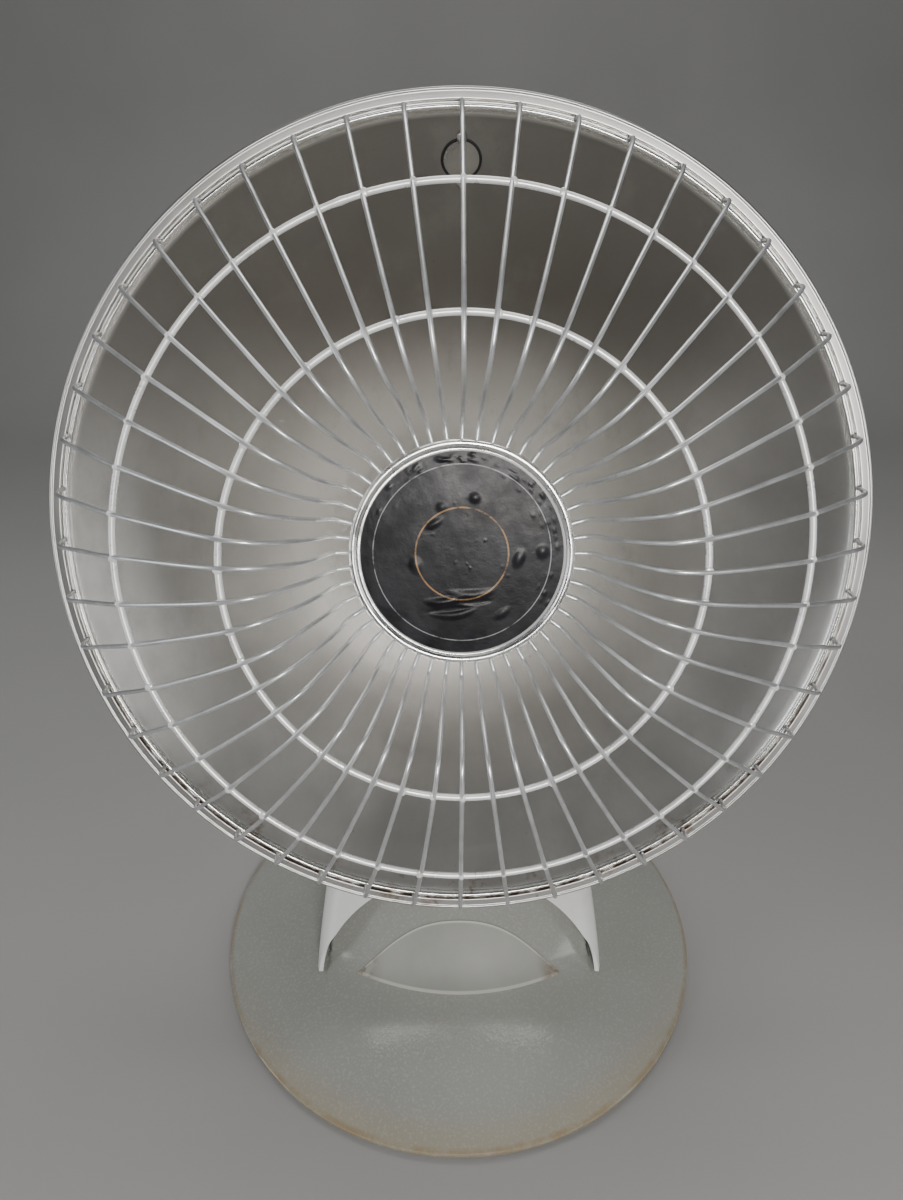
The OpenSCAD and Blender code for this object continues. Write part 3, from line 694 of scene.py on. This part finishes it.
wire_path = [
    (0.968, -0.004), (0.967, 0.008), (0.96, 0.022), (0.949, 0.058), (0.93, 0.108), (0.896, 0.152),
    (0.844, 0.195), (0.74, 0.287), (0.6, 0.372), (0.53, 0.41), (0.47, 0.434), (0.41, 0.433), (0.375, 0.4),
    (0.335, 0.34), (0.308, 0.282), (0.294, 0.232), (0.282, 0.214), (0.262, 0.21), (0.235, 0.21),
    (0.205, 0.21)]
wires = []
for k in range(WIRE_COUNT):
    a = math.radians(90 + 360 * k / WIRE_COUNT) + rng.gauss(0, 0.0016)
    bow = rng.gauss(0, 0.45)
    kink = rng.gauss(0, 0.35)
    lift = rng.gauss(0, 0.25)
    c, s = math.cos(a), math.sin(a)
    line = []
    for q in curve([Vector((r, z)) * R for r, z in wire_path], 4):
        t = (q.x - 0.205 * R) / (0.76 * R)
        swell = math.sin(math.pi * max(0, min(1, t)))
        side = bow * swell + kink * math.exp(-((q.x - 0.33 * R) / 9) ** 2)
        line.append(Vector((q.x * c - side * s, q.x * s + side * c, q.y + lift * swell)))
    wires.append(tube(line, WIRE_R, 12))
add("guard_wire_set", *join(wires), "guard_wire", "head", ("guard_wires",), DISH, 70)


def guard_ring(name, node, at_r, at_z, seam):
    """A round bar ring with the swelling of its butt weld and a small weld at each wire."""
    r0, z0, n = at_r * R, at_z * R - RING_R, 288
    path, radii = [], []
    for k in range(n):
        a = 2 * math.pi * k / n
        gap = (a - seam + math.pi) % (2 * math.pi) - math.pi
        path.append((r0 * math.cos(a), r0 * math.sin(a), z0))
        radii.append(RING_R + 0.25 * math.exp(-(gap * r0 / 1.6) ** 2))
    parts = [tube(path, radii, 16, closed=True)]
    turns = [math.pi * i / 10 for i in range(2, 9)]
    weld = lathe([(0.0, -0.8)] + [(math.sin(t), -math.cos(t)) for t in turns] + [(0.0, 0.8)], 12)
    for k in range(WIRE_COUNT):
        a = math.radians(90 + 360 * k / WIRE_COUNT)
        spot = Matrix.Translation((r0 * math.cos(a), r0 * math.sin(a), z0 + 1.1)) @ Matrix.Rotation(a, 4, "Z")
        size = 1 + rng.uniform(-0.12, 0.15)
        parts.append(moved(weld, spot @ Matrix.Diagonal((1.75 * size, 1.45 * size, 0.75 * size, 1))))
    add(name, *join(parts), "guard_ring", "head", (node,), DISH, 60)


guard_ring("guard_ring_outer", "guard_outer_ring", 0.73, 0.298, 1.9)
guard_ring("guard_ring_inner", "guard_inner_ring", 0.472, 0.434, 4.4)
guard_ring("guard_ring_hub", "guard_hub_ring", 0.215, 0.21, 0.7)

# ---------------------------------------------------------------- cap

cap_low = CAP_Z + 1.4
bezel = rounded([
    (0, cap_low + 0.05), (CAP_R - 1, cap_low, 0.4), (CAP_R, cap_low + 0.6, 0.6), (CAP_R, cap_low + 1.9, 0.9),
    (CAP_R - 0.9, cap_low + 2.9, 0.9), (CAP_R - 2.2, cap_low + 3, 0.8), (CAP_R - 3.3, cap_low + 2.1, 0.5),
    (CAP_R - 3.7, cap_low + 1.4, 0.3), (0, cap_low + 1.4)], 0.3, 5)


def dented(r, zz, a):
    """Small handling dents round the rolled edge."""
    k = max(0.0, (r - 40) / 8)
    return r - k * 0.16 * max(0, math.sin(5 * a + 0.6)) ** 6, zz - k * 0.12 * max(0, math.sin(9 * a)) ** 8


add("cap_rolled_bezel", *lathe(bezel, 256, dented), "cap_metal", "head", ("cap_bezel",), DISH, 60)

LABEL_R = CAP_R - 4.2
LABEL_LOW, LABEL_TOP, LABEL_SHIFT = CAP_Z + 2.82, CAP_Z + 3.15, 0.4
# Each blister's distance from the middle, angle, radius and height
blisters = []
for k in range(46):
    a = rng.gauss(math.radians(78), 0.62)
    blisters.append((rng.uniform(38.8, 42.6), a, rng.uniform(0.6, 1.6), rng.uniform(0.12, 0.4)))
for k in range(14):
    a = rng.gauss(math.radians(5), 0.5)
    blisters.append((rng.uniform(34, 42), a, rng.uniform(0.7, 1.8), rng.uniform(0.05, 0.2)))
for k in range(24):
    r, a = rng.uniform(4, 41), rng.uniform(0, 2 * math.pi)
    blisters.append((r, a, rng.uniform(0.5, 1.4), rng.uniform(0.03, 0.09)))
# Each mound's centre x and y, half length, half width, turn and height
wrinkles = [(-8, -21, 10, 2.6, 0.14, 0.75), (4, -18, 12, 3.0, 0.05, 0.6), (-20, -5, 3.6, 5.0, 0.3, 0.5),
            (24, -2, 3.0, 5.2, -0.4, 0.55), (34, 1, 3.4, 3.6, 0, 0.6), (5, 24, 3.2, 3.0, 0, 0.45),
            (-12, 13, 5.2, 2.2, 0.5, 0.4), (-4, -27, 13, 2.2, 0.1, 0.4), (-9, 20, 2.8, 2.8, 0, 0.35),
            (17, -26, 5, 2.4, 0.6, 0.35)]
dips = [(-6, -24.5, 13, 1.7, 0.12, 0.45), (6, -21, 8, 1.5, 0.1, 0.5)]


def mound(x, y, row, curl):
    """Height at a point of a smooth oval mound, its long axis bent by curl."""
    cx, cy, long_half, wide_half, turn, tall = row
    u = (x - cx) * math.cos(turn) + (y - cy) * math.sin(turn)
    v = -(x - cx) * math.sin(turn) + (y - cy) * math.cos(turn)
    d2 = (u / long_half) ** 2 + ((v - curl * u * u) / wide_half) ** 2
    return tall * (1 - d2) ** 2 if d2 < 1 else 0


def label_height(x, y):
    """Height of the film's bubbles, wrinkles and dips over its flat."""
    h = 0.03 * math.sin(x * 0.21 + 0.7) * math.sin(y * 0.17 + 0.4) + 0.006 * math.sin(x * 0.9 + y * 0.4)
    for r, a, size, tall in blisters:
        d2 = ((x - r * math.cos(a)) ** 2 + (y - r * math.sin(a)) ** 2) / size ** 2
        if d2 < 1:
            h += tall * (1 - d2) ** 2
    for row in wrinkles:
        h += mound(x, y, row, 0.02)
    for row in dips:
        h -= mound(x, y, row, 0)
    return h


label_points, label_faces = [], []
rings, around = 96, 240
for i in range(1, rings + 1):
    r = LABEL_R * i / rings
    fade = min(1.0, (rings - i) / 3)
    for c, s in unit_circle(around):
        x, y = r * c, r * s
        label_points.append((x + LABEL_SHIFT, y, LABEL_TOP + max(-0.22, label_height(x, y)) * fade))
for c, s in unit_circle(around):
    label_points.append((LABEL_R * c + LABEL_SHIFT, LABEL_R * s, LABEL_LOW))
label_points += [(LABEL_SHIFT, 0, LABEL_TOP), (LABEL_SHIFT, 0, LABEL_LOW)]
top_mid, low_mid = len(label_points) - 2, len(label_points) - 1
for i in range(rings):
    for k in range(around):
        b = (k + 1) % around
        label_faces.append((i * around + k, i * around + b, (i + 1) * around + b, (i + 1) * around + k))
for k in range(around):
    b = (k + 1) % around
    label_faces.append((top_mid, b, k))
    label_faces.append((low_mid, rings * around + k, rings * around + b))
add("cap_film_blistered", label_points, label_faces, "cap_label", "head", ("cap_label",), DISH, 60)

# ---------------------------------------------------------------- element behind the cap

turns, pitch, coil_r, coil_low = 10, 5.0, 16.9, -24
fine_r, fine_pitch, fine_wire = 1.15, 1.7, 0.35
length = turns * 2 * math.pi * coil_r
fine_turns = int(length / fine_pitch)
fine = []
steps = fine_turns * 9
for i in range(steps + 1):
    t = i / steps
    a = 2 * math.pi * turns * t
    b = 2 * math.pi * fine_turns * t
    out = Vector((math.cos(a), math.sin(a), 0))
    up = Vector((0, 0, coil_low + pitch * turns * t + fine_r * math.sin(b)))
    fine.append(out * (coil_r + fine_r * math.cos(b)) + up)
add("heating_coil_fine", *tube(fine, fine_wire, 5), "heating_wire", "head", ("heating_coil",), DISH, 80)

head_edges = {
    "heat_shield": 0.3, "element_former": 0.25, "centre_rod": 0.3, "element_mount": 0.5, "rod_nuts": 0.4,
    "limit_thermostat": 0.35, "thermostat_rivets": 0.3, "trunnion_bracket": 0.4, "bracket_screws": 0.3,
    "pivot_pins": 0.6, "friction_washers": 0.3, "rear_housing": 0.5, "housing_screws": 0.3}
for node, width in head_edges.items():
    refine(node, width)

gasket = rounded([
    (7.4, -1.6), (9.4, -1.6), (9.4, 0.35), (8.9, 0.75), (8.35, 0.45), (8.3, -0.4), (7.4, -0.5)], 0.2)
add("thermostat_gasket", *moved(lathe(gasket, 96), THERMO), "black_plastic", "head", (), DISH, 50)

# ---------------------------------------------------------------- pedestal

PEDESTAL_LOW, PEDESTAL_HIGH = 21.0, 190.0
HALF_WIDTH = (86, 81.5, 74, 66, 60)
FRONT = (-86, -52, -20, 15, 46)
REAR = (117, 121, 123, 122, 118)
FRONT_ROUND = (8, 11, 14, 17, 20)
REAR_ROUND = (40, 38, 34, 30, 26)
BOW = 0.0036
ARCH_HALF, ARCH_RISE, FOOT_GAP = 84.5, 58.0, 0.8
WALL, SKIN = 3.0, 0.02
BASE_R, BASE_EDGE, BASE_CROWN = 150.0, 6.0, 28.0


def spline(p, t):
    """Value of evenly spaced stations p at a fraction t of their run."""
    s = max(0.0, min(0.99999, t)) * (len(p) - 1)
    k = int(s)
    f = s - k
    a, b, c, d = (p[max(0, min(len(p) - 1, k + q))] for q in (-1, 0, 1, 2))
    return blend_four(a, b, c, d, f)


def pedestal_at(p, height):
    """Value of the pedestal's stations p at a height."""
    return spline(p, (height - PEDESTAL_LOW) / (PEDESTAL_HIGH - PEDESTAL_LOW))


def dome(x, y):
    """Height of the base's plain dome."""
    return BASE_EDGE + BASE_CROWN * max(0, 1 - (x * x + y * y) / BASE_R ** 2)


def pedestal_half(height, side, inset, corner=14, flat_steps=30):
    """Half of the pedestal's outline at a height, front (0) or rear (1), from seam to seam."""
    half = pedestal_at(HALF_WIDTH, height) - inset
    front_y, rear_y = pedestal_at(FRONT, height), pedestal_at(REAR, height)
    seam = (front_y + rear_y) / 2
    s = -1 if side == 0 else 1
    wall_y = (front_y if side == 0 else rear_y) - s * inset
    bow = BOW if side == 0 else 0
    round_r = max(2, pedestal_at(FRONT_ROUND if side == 0 else REAR_ROUND, height) - inset)
    flat = half - round_r
    side_y = wall_y + bow * half * half - s * round_r
    out = [(s * half, seam + (side_y - seam) * k / 8) for k in range(8)]
    for k in range(corner):
        a = math.radians(90 - 90 * k / corner)
        x = flat + round_r * math.sin(a)
        out.append((s * x, wall_y + bow * x * x - s * round_r * (1 - math.cos(a))))
    for k in range(flat_steps, -flat_steps - 1, -1):
        x = k / flat_steps * flat
        out.append((s * x, wall_y + bow * x * x))
    for k in range(1, corner + 1):
        a = math.radians(90 * k / corner)
        x = flat + round_r * math.sin(a)
        out.append((-s * x, wall_y + bow * x * x - s * round_r * (1 - math.cos(a))))
    out += [(-s * half, side_y + (seam - side_y) * k / 8) for k in range(1, 9)]
    return out


def pedestal_foot(p, q, side):
    """Lowest height of the wall over outer point p and inner point q, with the arch in front."""
    arch = ARCH_RISE * math.sqrt(max(0, 1 - (p[0] / ARCH_HALF) ** 2)) if side == 0 and p[1] < 0 else 0
    return max(dome(*p), dome(*q)) + FOOT_GAP + arch


def pedestal_grid(side, inset, rows=44):
    """Columns of points up one face of a pedestal half."""
    outer, inner = pedestal_half(PEDESTAL_LOW, side, 0), pedestal_half(PEDESTAL_LOW, side, WALL)
    grid = []
    for c, p in enumerate(outer):
        foot = pedestal_foot(p, inner[c], side)
        column = []
        for r in range(rows + 1):
            height = foot + (PEDESTAL_HIGH - foot) * r / rows
            x, y = pedestal_half(height, side, inset)[c]
            column.append((x, y, height))
        grid.append(column)
    return grid


front_wall = thick(pedestal_grid(0, SKIN), pedestal_grid(0, WALL))
front = add("pedestal_shell_front", *front_wall, "white_plastic", "stand", ("pedestal_front",), sharp=50)
bevel(front, 0.7, 3, 40)
rear_wall = thick(pedestal_grid(1, SKIN), pedestal_grid(1, WALL))
rear = add("pedestal_shell_rear", *rear_wall, "white_plastic", "stand", ("pedestal_rear",), sharp=50)
gland_low, gland_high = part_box("cord_gland")
gland_x, gland_z = (gland_low[0] + gland_high[0]) / 2 / MM, (gland_low[2] + gland_high[2]) / 2 / MM
BEHIND = 131
VENT_LOW, VENT_TALL, VENT_STEP = 148, 2.2, 4.6
through = Matrix.Rotation(math.radians(90), 4, "X")
cutters = []
for hole_r, x, zz in ((KNOB_HOLE_R, KNOB_AT.x / MM, KNOB_AT.z / MM), (GLAND_HOLE_R, gland_x, gland_z)):
    cutters.append(moved(rod(hole_r, 0, 25), Matrix.Translation((x, BEHIND, zz)) @ through))
for k in range(7):
    slot_low = VENT_LOW + VENT_STEP * k
    cutters.append(block(-26, 26, 100, BEHIND, slot_low, slot_low + VENT_TALL))
cut(rear, cutters)
bevel(rear, 0.5, 2, 40)

# ---------------------------------------------------------------- lit base

HILL_HALF, HILL_RISE, HILL_TOE, HILL_BACK = 79.0, 60.0, -62.0, 60.0
HILL_SLOPE, HILL_FALL = 1.65, 2.6
LENS_T, LENS_FLOOR = 2.5, 3.0


def soft(v, k):
    """v where it is well above zero, falling smoothly to 0 below, over a width k."""
    return v if v / k > 30 else k * math.log(1 + math.exp(v / k))


def lean(x, y):
    """Height of the hill's slope behind its toe, which is bowed like the pedestal's front."""
    return HILL_SLOPE * soft(y - HILL_TOE - BOW * x * x, 6)


def shoulder(x, half):
    """Height of the hill's blunt arch at a distance x from its middle."""
    return HILL_RISE * math.sqrt(max(0, 1 - (x / half) ** 4))


def blend(a, b):
    """The lesser of two heights, rounded where they meet."""
    k = 0.5 + 0.5 * max(-1, min(1, (b - a) / 12))
    return b * (1 - k) + a * k - 6 * k * (1 - k)


def hill(x, y, inset):
    """Height of the base's rise over its dome, drawn in by inset."""
    if abs(x) >= HILL_HALF - inset:
        return 0
    rise = blend(shoulder(x, HILL_HALF - inset), lean(x, y - inset))
    return max(0, min(rise, HILL_FALL * max(0, HILL_BACK - inset - y)))


def lens_z(x, y):
    """Height of the base's upper face."""
    return dome(x, y) + hill(x, y, 0)


def lens_inner_z(x, y):
    """Height of the base's lower face."""
    return dome(x, y) - LENS_T + hill(x, y, LENS_T)


def spread(t):
    """A fraction of the radius, whose even steps lie closer together near the rim."""
    return 1 - (1 - t) ** 1.25


lens_sides, outer_rows, inner_rows = 360, 120, 40
circle = unit_circle(lens_sides)
lens_points, lens_faces, outside, inside = [], [], [], []


def lens_ring(starts, r, height):
    """Adds a ring of points; height is a number or a function of x and y."""
    starts.append(len(lens_points))
    for c, s in circle:
        x, y = r * c, r * s
        lens_points.append((x, y, height(x, y) if callable(height) else height))


lens_ring(outside, BASE_R - LENS_T, LENS_FLOOR)
for dr, dz in ((0.5, 0), (0.15, 0.12), (0, 0.5)):
    lens_ring(outside, BASE_R - dr, LENS_FLOOR + dz)
for dr, dz in ((0, -0.9), (0.12, -0.4), (0.45, -0.1)):
    lens_ring(outside, BASE_R - dr, BASE_EDGE + dz)
for i in range(outer_rows - 1, 0, -1):
    lens_ring(outside, BASE_R * spread(i / outer_rows), lens_z)
lens_points.append((0, 0, lens_z(0, 0)))
top_mid = len(lens_points) - 1
for i in range(inner_rows, 0, -1):
    lens_ring(inside, (BASE_R - LENS_T) * spread(i / inner_rows), lens_inner_z)
lens_points.append((0, 0, lens_inner_z(0, 0)))
low_mid = len(lens_points) - 1
for a, b in zip(outside, outside[1:]):
    for k in range(lens_sides):
        q = (k + 1) % lens_sides
        lens_faces.append((a + k, a + q, b + q, b + k))
lens_faces += [(outside[-1] + k, outside[-1] + (k + 1) % lens_sides, top_mid) for k in range(lens_sides)]
for k in range(lens_sides):
    q = (k + 1) % lens_sides
    lens_faces.append((outside[0] + k, inside[0] + k, inside[0] + q, outside[0] + q))
    lens_faces.append((inside[-1] + k, low_mid, inside[-1] + q))
for a, b in zip(inside, inside[1:]):
    for k in range(lens_sides):
        q = (k + 1) % lens_sides
        lens_faces.append((a + k, b + k, b + q, a + q))
lens = add("base_lens_shell", lens_points, lens_faces, "lens_plastic", "stand", ("base_lens",), sharp=55)
cut(lens, [block(-48, 48, 66, 108, 0, 60)])


def sticker_point(s, t, lift):
    """A point of the sticker, s from tip to tip and t from its lower edge, lifted off the base."""
    x = STICKER_HALF * s
    lower, upper = STICKER_LOW + STICKER_LOW_BOW * s * s, STICKER_TOP - STICKER_TOP_BOW * abs(s) ** 3
    y = (1 - t) * lower + t * upper
    return (x, y - lift * 0.8, lens_z(x, y) + lift * 0.6)


cols = [math.sin(math.pi / 2 * i / 40) for i in range(-40, 41)]
film_top = [[sticker_point(s, j / 16, 0.7) for j in range(17)] for s in cols]
film_low = [[sticker_point(s, j / 16, 0.15) for j in range(17)] for s in cols]
film = thick(film_top, film_low)
add("sticker_blank", *film, "sticker_film", "stand", ("blank_sticker",), sharp=50)

# ---------------------------------------------------------------- knob and its dial ticks


def fluted(r, zz, a):
    """Finger grooves round the knob's grip."""
    grip = 1.0 if 4.6 < zz < 15.2 and r > 12 else 0.0
    return r - grip * 0.55 * (0.5 + 0.5 * math.cos(28 * a)) ** 3, zz


knob_low, knob_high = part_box("control_knob")
knob_r = (knob_high[0] - knob_low[0]) / 2 / MM
KNOB = Matrix.Translation(KNOB_AT) @ Matrix.Rotation(math.radians(-90), 4, "X")
knob_outline = rounded([
    (0, 0), (knob_r, 0, 0.6), (knob_r, 3, 1.2), (knob_r - 2.8, 5, 1.2), (knob_r - 3.4, 9, 0),
    (knob_r - 4, 13.6, 0.8), (knob_r - 6, 15.4, 1.2), (9.5, 15.4, 0.5), (8.8, 14.7, 0.5), (0, 14.6)], 0.5, 5)
add("knob_fluted", *lathe(knob_outline, 336, fluted), "knob_plastic", "knob", ("control_knob",), KNOB, 50)
stem = lathe(rounded([(0, -10), (3, -10, 0.5), (3, 0.2, 0), (0, 0.2)], 0.3), 48)
add("knob_stem", *stem, "knob_plastic", "knob", (), KNOB, 50)
refine("knob_pointer", 0.2)

TICK_START, TICK_SHORT, TICK_LONG, TICK_HALF = 24.0, 26.6, 28.5, 0.55
ticks = []
for k in range(11):
    a = math.radians(225 - 27 * k)
    c, s = math.cos(a), math.sin(a)
    end = TICK_LONG if k % 5 == 0 else TICK_SHORT
    ends = ((TICK_START, TICK_HALF), (TICK_START, -TICK_HALF), (end, -TICK_HALF), (end, TICK_HALF))
    corner = [(r * c - half * s, r * s + half * c) for r, half in ends]
    pts = []
    for lift in (-0.3, 0.35):
        for x, zz in corner:
            height = KNOB_AT.z / MM + zz
            pts.append((-x, pedestal_at(REAR, height) + lift, height))
    ticks.append((pts, [(0, 1, 2, 3), (4, 7, 6, 5), (0, 4, 5, 1), (1, 5, 6, 2), (2, 6, 7, 3), (3, 7, 4, 0)]))
tick_piece = add("dial_ticks", *join(ticks), "knob_plastic", "stand", (), sharp=40)
bevel(tick_piece, 0.18, 2, 40)

# ---------------------------------------------------------------- the other stand pieces

stand_edges = {
    "yoke": 0.8, "support_column": 0.4, "column_screws": 0.3, "base_plate": 0.4, "base_screws": 0.3,
    "rubber_feet": 0.8, "ballast": 0.6, "lamp_bulb": 0, "lamp_base": 0.3, "lamp_socket": 0.5,
    "lamp_door": 0.4, "tip_switch_body": 0.4, "tip_plunger": 0.4, "tip_spring": 0, "buzzer": 0.4,
    "control_thermostat": 0.4, "terminal_block": 0.4, "cord_gland": 0.5}
for node, width in stand_edges.items():
    refine(node, width)

# ---------------------------------------------------------------- room, light and camera


def stage_piece(name, points, faces, mat):
    """A smooth mesh of the room, which is not part of the object."""
    mesh = bpy.data.meshes.new(name)
    mesh.from_pydata(points, [], faces)
    for p in mesh.polygons:
        p.use_smooth = True
    obj = bpy.data.objects.new(name, mesh)
    bpy.context.scene.collection.objects.link(obj)
    mesh.materials.append(mat)
    obj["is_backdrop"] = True


room = Look("studio_paper", roughness=0.75, specular=0.2)
room.colour(room.mix(room.span(room.noise(1.6, 3), 0.3, 0.7), (0.40, 0.398, 0.395), (0.435, 0.433, 0.43)))
room.bump(room.noise(220, 3), 0.15, 0.0004)
FLOOR_END, COVE_R, WALL_TOP = 1.1, 0.6, 3.2
section = [(-3.0, 0.0), (FLOOR_END, 0.0)]
for k in range(1, 13):
    a = math.radians(90 * k / 12)
    section.append((FLOOR_END + COVE_R * math.sin(a), COVE_R - COVE_R * math.cos(a)))
section.append((FLOOR_END + COVE_R, WALL_TOP))
floor_points = [(x, y, zz) for x in (-3.5, 3.5) for y, zz in section]
count = len(section)
floor_faces = [(i, i + count, i + 1 + count, i + 1) for i in range(count - 1)]
stage_piece("paper_sweep", floor_points, floor_faces, room.mat)

world = bpy.data.worlds.new("studio")
bpy.context.scene.world = world
world.use_nodes = True
world.node_tree.nodes["Background"].inputs[0].default_value = (0.80, 0.82, 0.85, 1)
world.node_tree.nodes["Background"].inputs[1].default_value = 0.13


def area(name, at, aim, size, power, colour=(1, 1, 1)):
    """A rectangular light aimed at a point."""
    data = bpy.data.lights.new(name, "AREA")
    data.shape = "RECTANGLE"
    data.size, data.size_y = size
    data.energy = power
    data.color = colour
    obj = bpy.data.objects.new(name, data)
    bpy.context.scene.collection.objects.link(obj)
    obj.location = at
    obj.rotation_euler = (Vector(aim) - Vector(at)).to_track_quat("-Z", "Y").to_euler()


area("overhead", (0.0, 0.55, 2.2), (0, 0, 0.1), (1.6, 0.8), 12, (1, 0.985, 0.96))
area("near_camera", (0.12, -0.95, 0.62), (0, 0, 0.28), (0.36, 0.26), 5.4, (1, 0.975, 0.94))
area("left_card", (-1.5, -0.5, 0.55), (0, 0, 0.3), (0.35, 1.3), 4.6, (0.96, 0.98, 1))
area("right_card", (1.7, -0.9, 0.7), (0, 0, 0.3), (0.5, 1.2), 3.6)

CAMERA_PITCH = 28
camera_data = bpy.data.cameras.new("camera")
camera = bpy.data.objects.new("camera", camera_data)
bpy.context.scene.collection.objects.link(camera)
camera.location = RIM_CENTRE + Vector((-0.0228, -1.796, 0.789)) * R * MM
camera.rotation_euler = (math.radians(90 - CAMERA_PITCH), 0, 0)
camera_data.lens = 24
camera_data.sensor_width = 36
camera_data.clip_start = 0.01
bpy.context.scene.camera = camera
bpy.context.scene.view_settings.view_transform = "AgX"
bpy.context.scene.view_settings.look = "AgX - Medium High Contrast"

# Each piece's place goes into its mesh, so that its box is tight
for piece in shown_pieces():
    place = piece.matrix_world.copy()
    piece.data.transform(place)
    piece.matrix_world = HERE
bpy.context.view_layer.update()
